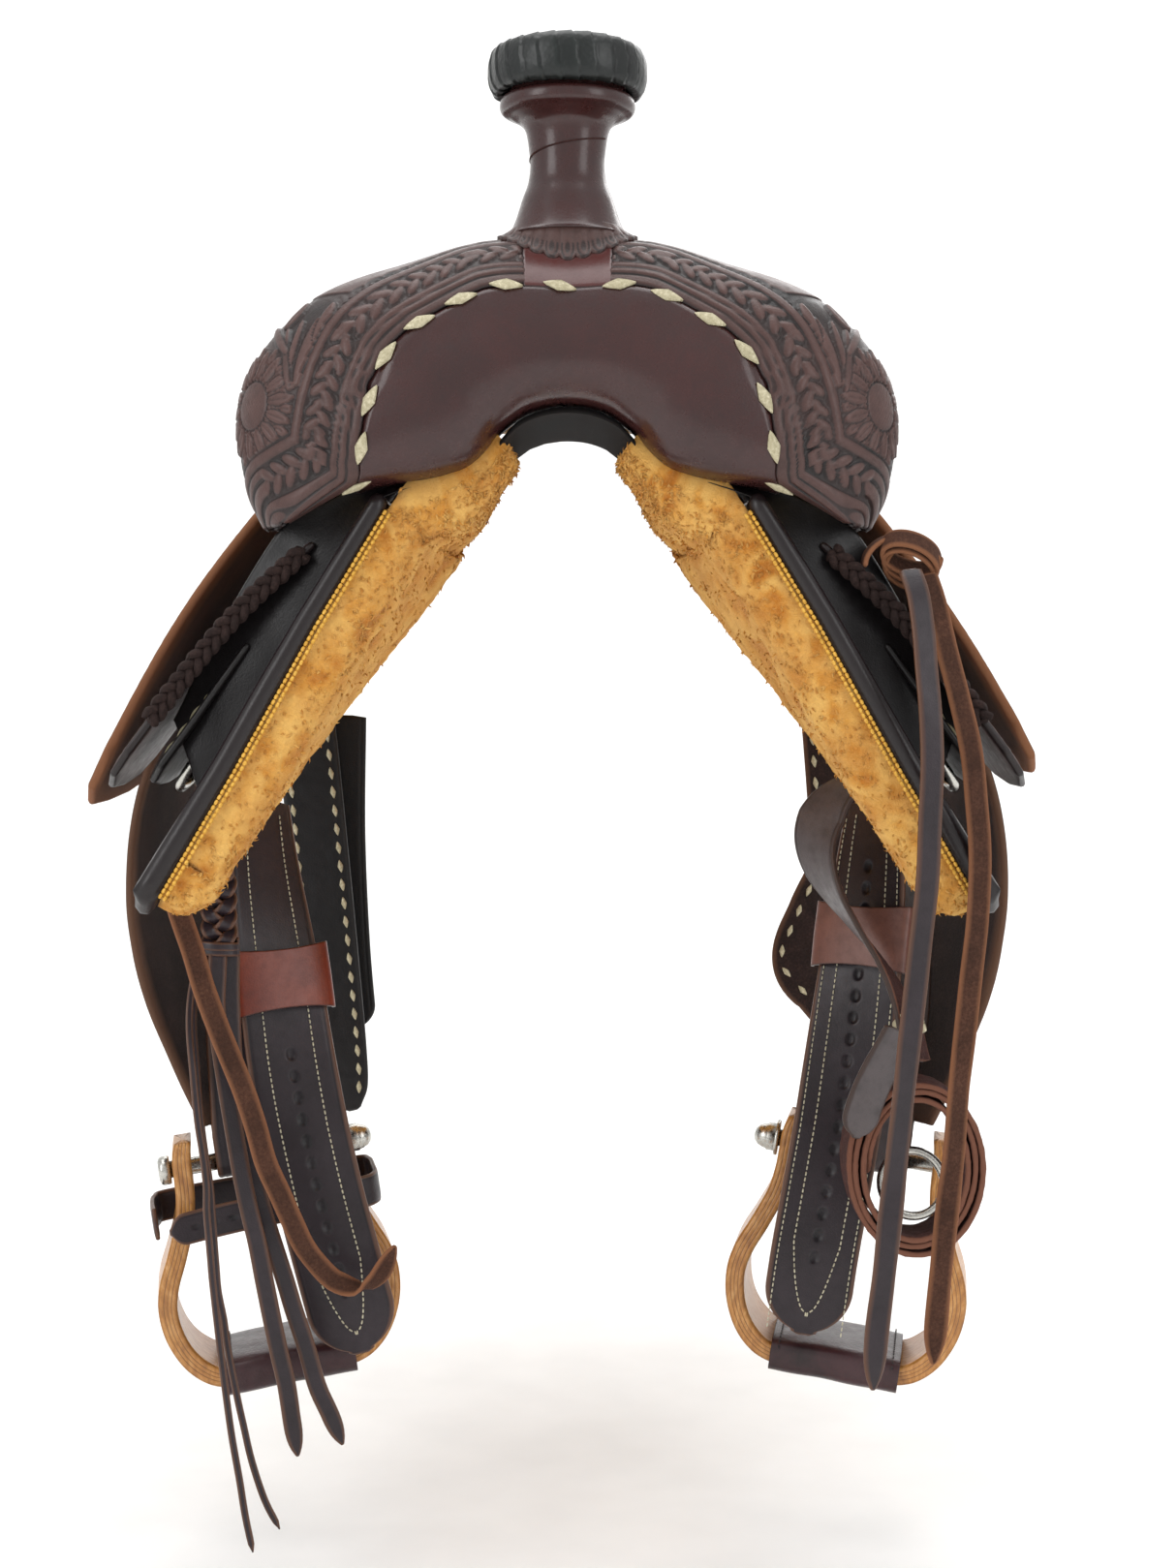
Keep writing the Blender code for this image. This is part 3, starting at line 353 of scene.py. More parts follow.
def turned(profile, centre, axis=(0, 0, 1), sides=48, closed=False):
    """A profile of radius and height turned about an axis through the centre."""
    axis = unit(np.asarray(axis, float))
    first = unit(np.cross(axis, (0, 1, 0) if abs(axis[1]) < 0.9 else (1, 0, 0)))
    second = np.cross(axis, first)
    turns = np.arange(sides) * 2 * math.pi / sides
    ring = np.cos(turns)[:, None] * first + np.sin(turns)[:, None] * second
    prof = np.asarray(profile, float)
    loops = np.asarray(centre) + axis * prof[:, 1, None, None] + ring[None] * prof[:, 0, None, None]
    return swept(loops, closed=closed)


def scattered(template, quads, polys, centres, frames):
    """One small shape repeated: template points times each frame's three directions plus its centre."""
    count = len(centres)
    verts = centres[:, None] + np.einsum("vk,nkd->nvd", template, frames)
    size = len(template)
    shift = (np.arange(count) * size)[:, None, None]
    many = [[int(i) + k * size for i in p] for k in range(count) for p in polys]
    return Shape(verts.reshape(-1, 3), (quads[None] + shift).reshape(-1, 4), many)


def lozenges(centres, along, normal, length, width, height):
    """Rawhide buckstitches: leaf outlines with pointed ends, domed on top and let into the leather.

    Half-width is width/2 (1 - |s|)^0.7 at share s of the half-length, and the dome falls as 1 - t^2.
    """
    s = np.linspace(-1, 1, 9)
    t = np.linspace(-1, 1, 5)
    wide = (1 - np.abs(s)) ** 0.7 * 0.5 + 0.02
    top = np.stack(np.broadcast_arrays(s[:, None] * 0.5, wide[:, None] * t[None, :],
                                       (1 - 0.75 * t[None, :] ** 2) * (0.4 + 0.6 * (1 - s[:, None] ** 2))), -1)
    low = top.copy()
    low[..., 2] = -1.2
    loops = np.concatenate([top, low[:, ::-1][:, 1:-1]], axis=1)
    base = swept(loops)
    along = unit(along - normal * (along * normal).sum(-1, keepdims=True))
    side = np.cross(normal, along)
    n = len(centres)
    frames = np.stack([along * np.broadcast_to(length, n)[:, None], side * np.broadcast_to(width, n)[:, None],
                       normal * height], axis=1)
    return scattered(base.verts, base.quads, base.polys, centres, frames)


def stitch_row(line, normal, pitch, thread, fill=0.72, lift=0.25):
    """Sewing thread along a line: one slim rounded stitch for each pitch, half sunk in the leather."""
    length = lengths_along(line)
    count = max(2, int(length[-1] / pitch))
    places = (np.arange(count) + 0.5) * length[-1] / count
    centres = np.column_stack([np.interp(places, length, line[:, k]) for k in range(3)])
    ahead = np.column_stack([np.interp(places + 0.5, length, line[:, k]) for k in range(3)])
    behind = np.column_stack([np.interp(places - 0.5, length, line[:, k]) for k in range(3)])
    run = unit(ahead - behind)
    normals = np.broadcast_to(normal, line.shape)
    up = np.column_stack([np.interp(places, length, normals[:, k]) for k in range(3)])
    up = unit(up - run * (up * run).sum(1, keepdims=True))
    s = np.array([-1, -0.75, 0, 0.75, 1.0])
    girth = np.array([0.35, 0.85, 1.0, 0.85, 0.35])
    turns = np.arange(6) * math.pi / 3
    ring = np.stack(np.broadcast_arrays(s[:, None] * 0.5, girth[:, None] * np.cos(turns),
                                        girth[:, None] * np.sin(turns) + 0.4 * (1 - s[:, None] ** 2)), -1)
    base = swept(ring)
    frames = np.stack([run * pitch * fill, np.cross(up, run) * thread / 2, up * thread / 2], axis=1)
    return scattered(base.verts, base.quads, base.polys, centres + up * lift * thread, frames)


def piece(name, shape, material, body, replaces=()):
    """The shape as a mesh object in metres with its values, riding on a body."""
    verts = shape.verts * MM
    quads = shape.quads
    sizes = np.concatenate([np.full(len(quads), 4), [len(p) for p in shape.polys]]).astype(int)
    loops = np.concatenate([quads.ravel(), np.array([i for p in shape.polys for i in p], int)]).astype(int)
    corner = verts[loops]
    starts = np.concatenate([[0], np.cumsum(sizes)[:-1]])
    owner = np.repeat(np.arange(len(sizes)), sizes)
    after = np.arange(len(loops)) + 1
    after[starts + sizes - 1] = starts
    middle = verts.mean(0)
    a, b, c = verts[loops[starts]][owner] - middle, corner - middle, corner[after] - middle
    if np.einsum("ij,ij->", a, np.cross(b, c)) < 0:
        order = np.arange(len(loops))
        order = (starts + sizes - 1)[owner] - (order - starts[owner])
        loops = loops[order]
    mesh = bpy.data.meshes.new(name)
    mesh.vertices.add(len(verts))
    mesh.vertices.foreach_set("co", verts.ravel())
    mesh.loops.add(len(loops))
    mesh.loops.foreach_set("vertex_index", loops.astype(np.int32))
    mesh.polygons.add(len(sizes))
    mesh.polygons.foreach_set("loop_start", starts.astype(np.int32))
    mesh.polygons.foreach_set("use_smooth", np.ones(len(sizes), bool))
    mesh.update(calc_edges=True)
    mesh.validate()
    for label, values in (("relief", shape.relief), ("edge", shape.edge)):
        mesh.attributes.new(label, "FLOAT", "POINT").data.foreach_set("value", values.astype(np.float32))
    mesh.materials.append(material)
    obj = bpy.data.objects.new(name, mesh)
    bpy.context.scene.collection.objects.link(obj)
    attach(obj, body)
    if replaces:
        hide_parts(*replaces)
    return obj


# ---------------------------------------------------------------- materials

def linear(code):
    """sRGB hex code as the linear colour that a socket takes."""
    parts = [int(code[i:i + 2], 16) / 255 for i in (0, 2, 4)]
    return (*[c / 12.92 if c <= 0.04045 else ((c + 0.055) / 1.055) ** 2.4 for c in parts], 1.0)


def add(tree, kind, inputs=None, **settings):
    """One node with its settings; inputs gives a value or another node's output for each socket."""
    node = tree.nodes.new(kind)
    for key, value in settings.items():
        setattr(node, key, value)
    for key, value in (inputs or {}).items():
        if isinstance(value, bpy.types.NodeSocket):
            tree.links.new(value, node.inputs[key])
        else:
            node.inputs[key].default_value = value
    return node


def new_material(name, **sockets):
    """A named Principled material with values on its shader's own sockets; gives material, tree, shader."""
    material = bpy.data.materials.new(name)
    material.use_nodes = True
    shader = material.node_tree.nodes["Principled BSDF"]
    for key, value in sockets.items():
        shader.inputs[key.replace("_", " ")].default_value = value
    return material, material.node_tree, shader


def ramp(tree, factor, stops):
    """Colour ramp from places to hex colours."""
    node = add(tree, "ShaderNodeValToRGB", {"Fac": factor})
    bar = node.color_ramp
    bar.elements[0].position, bar.elements[0].color = stops[0][0], linear(stops[0][1])
    bar.elements[1].position, bar.elements[1].color = stops[-1][0], linear(stops[-1][1])
    for place, code in stops[1:-1]:
        bar.elements.new(place).color = linear(code)
    return node.outputs["Color"]


def mix(tree, factor, first, second, how="MIX"):
    """Two colours mixed; each is a hex code or a socket."""
    node = add(tree, "ShaderNodeMix", {}, data_type="RGBA", blend_type=how)
    for index, value in ((0, factor), (6, first), (7, second)):
        if isinstance(value, bpy.types.NodeSocket):
            tree.links.new(value, node.inputs[index])
        else:
            node.inputs[index].default_value = linear(value) if isinstance(value, str) else value
    return node.outputs[2]


def mapped(tree, value, low, high, to_low, to_high):
    """A value moved from one range to another and clamped."""
    return add(tree, "ShaderNodeMapRange", {"Value": value, "From Min": low, "From Max": high,
                                            "To Min": to_low, "To Max": to_high}).outputs["Result"]


def attribute(tree, name):
    """A float value kept on the vertices."""
    return add(tree, "ShaderNodeAttribute", attribute_name=name).outputs["Fac"]


def cell(tree, kind, size_mm, **inputs):
    """Noise or Voronoi texture on object coordinates with cells of a size in millimetres."""
    where = add(tree, "ShaderNodeTexCoord").outputs["Object"]
    return add(tree, kind, {"Vector": where, "Scale": 1 / (size_mm * MM),
                            **{k.replace("_", " "): v for k, v in inputs.items()}})


def bumped(tree, shader, height, distance_mm, strength=1.0):
    """Fine surface texture from a height."""
    node = add(tree, "ShaderNodeBump", {"Height": height, "Distance": distance_mm * MM, "Strength": strength})
    tree.links.new(node.outputs["Normal"], shader.inputs["Normal"])


def leather(name, deep, body, high, edge, rough=(0.3, 0.5), pore=1.1, grain=0.12, coat=0.15, tint=None,
            coat_rough=0.25):
    """Vegetable-tanned leather: colour darker in hollows and lighter on high places by the relief, burnished edges,
    hair-cell pores of about a millimetre and patchy oil sheen. On stamped leather that is antique stain and
    rubbing; in holes, laps, wrinkles and seat channels it is painted shade and painted highlight."""
    material, tree, shader = new_material(name, Coat_Weight=coat, Coat_Roughness=coat_rough,
                                          Specular_IOR_Level=0.32)
    relief = attribute(tree, "relief")
    # Relief colour: antique stain and rubbing on stamped leather; painted shade in low places and a painted
    # highlight on high ones where holes, laps, wrinkles or channels set the relief.
    colour = ramp(tree, mapped(tree, relief, -1, 1, 0, 1), [(0.0, deep), (0.3, deep), (0.47, body),
                                                            (0.6, body), (1.0, high)])
    cloud = cell(tree, "ShaderNodeTexNoise", 42, Detail=4.0, Roughness=0.6).outputs["Fac"]
    colour = mix(tree, mapped(tree, cloud, 0.35, 0.7, 0, 0.55), colour, tint or high)
    mottle = cell(tree, "ShaderNodeTexNoise", 6, Detail=6.0, Roughness=0.65).outputs["Fac"]
    colour = mix(tree, mapped(tree, mottle, 0.45, 0.75, 0, 0.35), colour, deep)
    colour = mix(tree, attribute(tree, "edge"), colour, edge)
    tree.links.new(colour, shader.inputs["Base Color"])
    tree.links.new(mapped(tree, mottle, 0.3, 0.7, *rough), shader.inputs["Roughness"])
    pores = cell(tree, "ShaderNodeTexVoronoi", pore, Randomness=1.0).outputs["Distance"]
    crinkle = cell(tree, "ShaderNodeTexNoise", pore * 2.6, Detail=5.0).outputs["Fac"]
    both = add(tree, "ShaderNodeMath", {0: pores, 1: crinkle}, operation="ADD").outputs["Value"]
    bumped(tree, shader, both, grain)
    return material


def roughout(name, dark, body, high, edge):
    """Flesh side of leather: short matted fibres of about half a millimetre that catch the light."""
    material, tree, shader = new_material(name, Roughness=0.9, Sheen_Weight=0.35, Sheen_Roughness=0.5,
                                          Sheen_Tint=linear(high), Specular_IOR_Level=0.25)
    fibre = cell(tree, "ShaderNodeTexNoise", 1.6, Detail=8.0, Roughness=0.75).outputs["Fac"]
    brushed = cell(tree, "ShaderNodeTexNoise", 22, Detail=3.0, Roughness=0.6, Distortion=0.8).outputs["Fac"]
    colour = ramp(tree, fibre, [(0.25, dark), (0.5, body), (0.8, high)])
    colour = mix(tree, mapped(tree, brushed, 0.35, 0.7, 0, 0.6), colour, dark)
    colour = mix(tree, mapped(tree, attribute(tree, "relief"), -1, 0, 0.8, 0), colour, dark)
    colour = mix(tree, mapped(tree, attribute(tree, "edge"), 0, 1, 0, 0.85), colour, edge)
    tree.links.new(colour, shader.inputs["Base Color"])
    bumped(tree, shader, fibre, 0.7)
    return material


MATERIALS = {}


def make_materials(colours):
    """Every finish of the saddle, named for the real one."""
    m = MATERIALS
    # Skirting leather, stamped and antiqued: dark resist stays in the cuts, high places rub pale.
    m["tooled"] = leather("antiqued_skirting_leather", "0f0a0a", colours.tooled, "64453f", "1c1212",
                          (0.36, 0.54), 0.9, 0.10, 0.16, "4b322e")
    # Oiled strap-side leather pulled smooth over the fork: mahogany with red where it is rubbed.
    m["smooth"] = leather("oiled_mahogany_leather", "1f1213", colours.smooth, "4a2421", "1c1212",
                          (0.22, 0.38), 1.3, 0.05, 0.4, "43211f", 0.18)
    m["panel"] = leather("red_mahogany_leather", "2c1413", "4a211f", "5a2e29", "201010",
                         (0.26, 0.4), 1.3, 0.05, 0.4, "522925", 0.2)
    # Harness leather dyed through, waxed: nearly black plum with a grey bloom.
    m["strap"] = leather("waxed_plum_harness_leather", "110c10", colours.strap, "3f3439", "5a3c2c",
                         (0.36, 0.52), 1.0, 0.08, 0.12, "33292f")
    m["skirt"] = leather("dark_skirting_leather", "120c0e", "22171a", "332226", "181011",
                         (0.3, 0.46), 1.2, 0.07, 0.2, "2e1d21")
    # Black latigo leather for rigging and billets.
    m["black"] = leather("black_latigo_leather", "070607", "0f0d0e", "201c1e", "120e0e",
                         (0.34, 0.5), 1.1, 0.08, 0.1, "171314")
    # Unfinished black lining leather, matt.
    m["lining"] = roughout("black_lining_leather", "060506", "0c0a0b", "161314", "14100f")
    m["rim"] = leather("black_horn_wrap_leather", "080a0a", "131716", "28302d", "0a0c0c",
                       (0.3, 0.46), 2.4, 0.16, 0.2, "1c2120")
    m["russet"] = leather("russet_keeper_leather", "30100a", "642412", "8a3f24", "240e08",
                          (0.3, 0.45), 1.2, 0.07, 0.3, "8a3a1e")
    m["tan_keeper"] = leather("faded_pink_keeper_leather", "33201c", "64423a", "7d5549", "2c1b18",
                              (0.34, 0.5), 1.2, 0.08, 0.15, "84594d")
    m["tread"] = leather("burgundy_tread_leather", "14090a", "2c1518", "3f2327", "1a0e10",
                         (0.3, 0.45), 1.6, 0.12, 0.3, "4a2a2e")
    m["grey"] = leather("grey_bloomed_leather", "2a2526", "4f4849", "6d6564", "3a2a24",
                        (0.4, 0.56), 1.0, 0.08, 0.08, "5c5352")
    m["roughout"] = roughout("brown_roughout", "2a1912", colours.roughout, "6b4838", "8a5c40")
    m["roughout_dark"] = roughout("dark_roughout", "140e0d", "2c1e1b", "463430", "664a3a")
    m["flesh"] = roughout("russet_flesh_side", "1f1110", "3d2320", "5a372f", "7a5140")
    make_other_materials(m, colours)


def make_other_materials(m, colours):
    """Wool, wood, steel, rawhide and thread."""
    # Gold-dyed shearling: springy locks, matt, with a painted highlight that lightens the tips and painted shade
    # that turns the pile burnt orange.
    material, tree, shader = new_material("golden_shearling", Roughness=0.95, Sheen_Weight=0.6,
                                          Sheen_Roughness=0.45, Sheen_Tint=linear("ffd490"),
                                          Specular_IOR_Level=0.15)
    patch = cell(tree, "ShaderNodeTexNoise", 24, Detail=4.0, Roughness=0.6).outputs["Fac"]
    fine = cell(tree, "ShaderNodeTexNoise", 2.2, Detail=6.0, Roughness=0.8, Distortion=1.2).outputs["Fac"]
    # Relief sets painted shade down in the pile and between locks, and a painted highlight on the crests and lock
    # tips.
    depth = mapped(tree, attribute(tree, "relief"), -1, 1, 0, 1)
    colour = ramp(tree, depth, [(0.0, "84430a"), (0.35, "c27320"), (0.65, colours.fleece), (1.0, "f0bb66")])
    colour = mix(tree, mapped(tree, patch, 0.42, 0.68, 0, 0.6), colour, "b9681a")
    colour = mix(tree, mapped(tree, fine, 0.4, 0.8, 0, 0.45), colour, "f2c47a")
    tree.links.new(colour, shader.inputs["Base Color"])
    bumped(tree, shader, fine, 1.4)
    m["fleece"] = material
    # Varnished bent lamination: pale hardwood plies, dark resin between them, fine open grain.
    material, tree, shader = new_material("varnished_laminated_hardwood", Coat_Weight=0.35,
                                          Coat_Roughness=0.2)
    plies = attribute(tree, "relief")
    streak_at = add(tree, "ShaderNodeTexCoord").outputs["Object"]
    stretched = add(tree, "ShaderNodeMapping", {"Vector": streak_at, "Scale": (0.25, 1.6, 0.12)}).outputs["Vector"]
    grain = add(tree, "ShaderNodeTexNoise", {"Vector": stretched, "Scale": 700.0, "Detail": 5.0,
                                             "Roughness": 0.7}).outputs["Fac"]
    figure = cell(tree, "ShaderNodeTexNoise", 30, Detail=3.0).outputs["Fac"]
    colour = ramp(tree, grain, [(0.3, "8d5a2a"), (0.5, colours.wood), (0.75, "d3a265")])
    colour = mix(tree, mapped(tree, figure, 0.4, 0.7, 0, 0.45), colour, "a06c36")
    colour = mix(tree, mapped(tree, plies, -0.2, -0.9, 0, 1), colour, "3e2712")
    tree.links.new(colour, shader.inputs["Base Color"])
    tree.links.new(mapped(tree, grain, 0.3, 0.7, 0.5, 0.36), shader.inputs["Roughness"])
    bumped(tree, shader, grain, 0.12)
    m["wood"] = material
    # Sealed pine of the tree, under the leather.
    material, tree, shader = new_material("sealed_tree_pine", Roughness=0.55)
    rings = add(tree, "ShaderNodeTexWave", {"Vector": stretched_place(tree, (1.0, 0.15, 1.0)), "Scale": 90.0,
                                            "Distortion": 4.0, "Detail": 3.0}).outputs["Fac"]
    tree.links.new(ramp(tree, rings, [(0.0, "b08c58"), (1.0, "d6bd8e")]), shader.inputs["Base Color"])
    bumped(tree, shader, rings, 0.1)
    m["tree_wood"] = material
    # Stainless steel, tumbled and handled: fine scratches spread the highlight.
    material, tree, shader = new_material("satin_stainless_steel", Metallic=1.0)
    scratch = add(tree, "ShaderNodeTexNoise", {"Vector": stretched_place(tree, (1.0, 6.0, 6.0)),
                                               "Scale": 420.0, "Detail": 4.0}).outputs["Fac"]
    tree.links.new(ramp(tree, scratch, [(0.2, "a9a8a2"), (0.8, "cfcdc6")]), shader.inputs["Base Color"])
    tree.links.new(mapped(tree, scratch, 0.3, 0.7, 0.18, 0.36), shader.inputs["Roughness"])
    bumped(tree, shader, scratch, 0.03)
    m["steel"] = material
    for key, name, low, body, high in (("rawhide", "bleached_rawhide", "8f8768", colours.rawhide, "ded6ba"),
                                       ("thread", "pale_waxed_thread", "8d8672", "bdb69c", "d8d2bb"),
                                       ("dark_thread", "dark_waxed_thread", "0f0c0c", "1e1919", "3a3030"),
                                       ("gold_thread", "gold_waxed_thread", "a8761c", "d9a53a", "efc566")):
        # Twisted or scraped fibre: streaks a third of a millimetre wide, drawn a little coarser.
        material, tree, shader = new_material(name, Roughness=0.6)
        streak = cell(tree, "ShaderNodeTexNoise", 1.8, Detail=5.0, Roughness=0.7).outputs["Fac"]
        dirt = cell(tree, "ShaderNodeTexNoise", 14, Detail=3.0).outputs["Fac"]
        colour = ramp(tree, streak, [(0.25, low), (0.5, body), (0.75, high)])
        colour = mix(tree, mapped(tree, dirt, 0.45, 0.7, 0, 0.4), colour, low)
        tree.links.new(colour, shader.inputs["Base Color"])
        bumped(tree, shader, streak, 0.15)
        m[key] = material


def stretched_place(tree, scale):
    """Object coordinates drawn out along an axis."""
    where = add(tree, "ShaderNodeTexCoord").outputs["Object"]
    return add(tree, "ShaderNodeMapping", {"Vector": where, "Scale": scale}).outputs["Vector"]


# ---------------------------------------------------------------- stage and camera

# The camera stands a little below the horn, in front of the fork, and looks slightly down.
CAMERA_PLACE = (0.0, -1.150, -0.138)
CAMERA_TURN = (87.27, 0.0, -0.52)
CAMERA_LENS = 51.14
FLOOR_DROP = 0.03


def area_light(name, place, aim, size, watts, tint="ffffff"):
    """Soft box aimed at a point."""
    lamp = bpy.data.lights.new(name, "AREA")
    lamp.shape = "RECTANGLE"
    lamp.size, lamp.size_y = size
    lamp.energy = watts
    lamp.color = linear(tint)[:3]
    obj = bpy.data.objects.new(name, lamp)
    obj.location = place
    away = unit(np.array(place) - np.array(aim))
    obj.rotation_euler = (math.acos(away[2]), 0, math.atan2(away[0], -away[1]))
    bpy.context.scene.collection.objects.link(obj)


def make_stage(sizes):
    """Floor that curves up into a back wall, soft boxes, pale world and the camera."""
    floor_z = (CAD_BOX[0][2] - FLOOR_DROP) / MM
    turn = np.linspace(0, math.pi / 2, 24)
    bend = 900
    profile = [(-3200, floor_z)] + [(1500 + bend * math.sin(t), floor_z + bend * (1 - math.cos(t))) for t in turn]
    profile.append((1500 + bend, floor_z + 3600))
    rows = np.array([[(x, y, z) for x in np.linspace(-4500, 4500, 9)] for y, z in profile], float)
    mesh = bpy.data.meshes.new("studio_floor")
    mesh.from_pydata((rows.reshape(-1, 3) * MM).tolist(), [], grid_quads(*rows.shape[:2]).tolist())
    for face in mesh.polygons:
        face.use_smooth = True
    material, tree, shader = new_material("matt_studio_paper", Roughness=0.9)
    paper = cell(tree, "ShaderNodeTexNoise", 60, Detail=3.0).outputs["Fac"]
    tree.links.new(ramp(tree, paper, [(0.3, "f1f1f0"), (0.7, "f6f6f5")]), shader.inputs["Base Color"])
    mesh.materials.append(material)
    floor = bpy.data.objects.new("studio_floor", mesh)
    bpy.context.scene.collection.objects.link(floor)
    world = bpy.data.worlds.new("pale_room")
    world.use_nodes = True
    world.node_tree.nodes["Background"].inputs["Color"].default_value = linear("ffffff")
    world.node_tree.nodes["Background"].inputs["Strength"].default_value = sizes.room_light
    bpy.context.scene.world = world
    bpy.context.scene.view_settings.view_transform = "Standard"
    area_light("overhead_box", (0.0, 0.1, 1.9), (0, 0.2, 0), (2.2, 1.8), 34 * sizes.key_light)
    area_light("left_box", (-1.9, -1.5, 0.7), (0, 0.1, -0.15), (1.0, 1.9), 20 * sizes.key_light)
    area_light("right_box", (1.9, -1.6, 0.6), (0, 0.1, -0.15), (1.0, 1.9), 14 * sizes.key_light)
    area_light("back_box", (0.4, 2.2, 1.4), (0, 0.3, -0.1), (2.4, 1.2), 24 * sizes.key_light)
    eye = bpy.data.cameras.new("front_camera")
    eye.lens = CAMERA_LENS
    eye.sensor_width = 36.0
    eye.clip_end = 50
    camera = bpy.data.objects.new("front_camera", eye)
    camera.location = CAMERA_PLACE
    camera.rotation_euler = [math.radians(a) for a in CAMERA_TURN]
    bpy.context.scene.collection.objects.link(camera)
    bpy.context.scene.camera = camera


# ---------------------------------------------------------------- saddle strings

# Routes in metres, from the knot down to the cut end, then width, finish and a slot name that nothing reads.
STRINGS = {
    "string_roughout_left": (
        [(-.222, .066, -.243), (-.216, .062, -.251), (-.211, .060, -.267), (-.204, .060, -.288),
         (-.199, .062, -.307), (-.192, .064, -.328), (-.185, .066, -.347), (-.178, .068, -.366),
         (-.172, .070, -.386), (-.167, .072, -.406), (-.160, .076, -.424), (-.154, .080, -.440),
         (-.148, .086, -.456), (-.141, .092, -.468), (-.134, .096, -.477), (-.128, .098, -.481),
         (-.122, .098, -.483), (-.116, .097, -.483), (-.110, .096, -.479), (-.105, .095, -.473),
         (-.098, .094, -.459)], 12.5, "roughout", "roughout"),
    "string_dark_left": (
        [(-.197, .100, -.293), (-.197, .096, -.306), (-.197, .092, -.322), (-.194, .088, -.345),
         (-.190, .086, -.369), (-.186, .085, -.393), (-.182, .084, -.416), (-.178, .084, -.436),
         (-.174, .084, -.453), (-.170, .084, -.475), (-.166, .084, -.496), (-.162, .084, -.516),
         (-.158, .084, -.534), (-.155, .084, -.555), (-.152, .084, -.574)], 10.5, "strap", "dark_leather"),
    "string_twin_left": (
        [(-.191, .109, -.293), (-.191, .107, -.312), (-.190, .103, -.334), (-.188, .099, -.360),
         (-.184, .097, -.386), (-.180, .096, -.411), (-.176, .095, -.423), (-.173, .095, -.435),
         (-.168, .094, -.451), (-.163, .094, -.467), (-.159, .094, -.480), (-.155, .094, -.494),
         (-.148, .094, -.516), (-.142, .094, -.538), (-.135, .094, -.554), (-.128, .094, -.571)],
        10.5, "strap", "dark_leather"),
    "string_thin_left": (
        [(-.206, .099, -.293), (-.210, .090, -.311), (-.210, .080, -.331), (-.207, .073, -.356),
         (-.204, .069, -.382), (-.201, .067, -.400), (-.199, .066, -.418), (-.199, .066, -.431),
         (-.198, .066, -.445), (-.197, .066, -.458), (-.196, .066, -.471), (-.193, .066, -.500),
         (-.191, .066, -.518), (-.189, .066, -.535), (-.186, .066, -.558), (-.182, .066, -.582),
         (-.179, .066, -.602), (-.175, .066, -.622)], 4, "strap", "dark_leather"),
    "string_thin_twin_left": (
        [(-.204, .110, -.294), (-.210, .105, -.312), (-.211, .099, -.332), (-.208, .091, -.358),
         (-.205, .085, -.384), (-.202, .081, -.403), (-.199, .079, -.421), (-.198, .079, -.437),
         (-.197, .079, -.453), (-.196, .079, -.467), (-.195, .079, -.480), (-.192, .079, -.496),
         (-.190, .079, -.512), (-.185, .079, -.539), (-.181, .079, -.558), (-.177, .079, -.576),
         (-.170, .079, -.598), (-.162, .079, -.614)], 4, "strap", "dark_leather"),
    "string_dark_right": (
        [(.174, -.016, -.084), (.177, -.023, -.096), (.179, -.028, -.114), (.180, -.032, -.133),
         (.182, -.034, -.157), (.183, -.034, -.182), (.182, -.034, -.211), (.181, -.034, -.240),
         (.178, -.034, -.269), (.175, -.034, -.298), (.172, -.034, -.327), (.169, -.034, -.356),
         (.166, -.034, -.385), (.163, -.034, -.415), (.160, -.034, -.444), (.157, -.034, -.470),
         (.155, -.034, -.499)], 12.7, "strap", "dark_leather"),
    "string_roughout_right": (
        [(.184, -.006, -.086), (.188, -.010, -.100), (.193, -.014, -.123), (.199, -.018, -.148),
         (.205, -.020, -.175), (.208, -.020, -.202), (.210, -.020, -.229), (.209, -.020, -.261),
         (.206, -.020, -.290), (.203, -.020, -.320), (.200, -.020, -.349), (.198, -.020, -.379),
         (.195, -.020, -.408), (.192, -.020, -.438), (.190, -.020, -.462), (.188, -.020, -.490)],
        12.5, "roughout", "roughout"),
}


def make_strings():
    """Free saddle strings: flat leather laces cut with a slanting tip, hanging limp from their knots."""
    for name, (route, width, finish, slot) in STRINGS.items():
        line = smooth_line(np.array(route) / MM, 90)
        thick = 2.6 if width > 6 else 2.0
        wander = noise(line * 0 + lengths_along(line)[:, None] * (1, 0, 0), 30) * 0.25

        def fibre(s, a):
            return 0.10 * noise(np.stack([s, a * 2, 0 * s], -1), 3.0)

        shape = strap(line, np.column_stack([np.ones(90), 0.15 + wander, np.full(90, 0.2)]), width, thick,
                      tip=width * 1.6, face=fibre, back=fibre, cells=7)
        obj = piece("look_" + name, shape, MATERIALS[finish], "saddle_body", [name])


# ---------------------------------------------------------------- fork, covers and horn

# Gullet edge and crown edge of the fork in x and z, matched point by point from the centre outwards.
GULLET_EDGE = np.array([(0, 1), (10, 0), (20, -3), (28, -8), (35, -14), (41, -22), (50, -30),
                        (60, -34), (72, -37), (86, -39), (103, -42), (124, -50), (142, -59)], float)
CROWN_EDGE = np.array([(0, 87), (32, 89), (54, 86), (83, 77), (110, 69), (130, 60), (144, 49),
                       (158, 34), (168.5, 15), (172.5, -5), (171, -28), (166, -46), (159, -60)], float)
HALF_DEPTH = np.array([48, 48, 48, 47, 46, 46, 45, 43, 40, 36, 30, 24, 18], float)
STITCH_SHARE = np.array([.66, .66, .67, .64, .60, .56, .50, .42, .33, .22, .06])
GULLET_Y, CROWN_Y = -2, 28
ROUNDNESS = 2.5
COVER_THICKNESS = 3.6
HORN_Y = 18


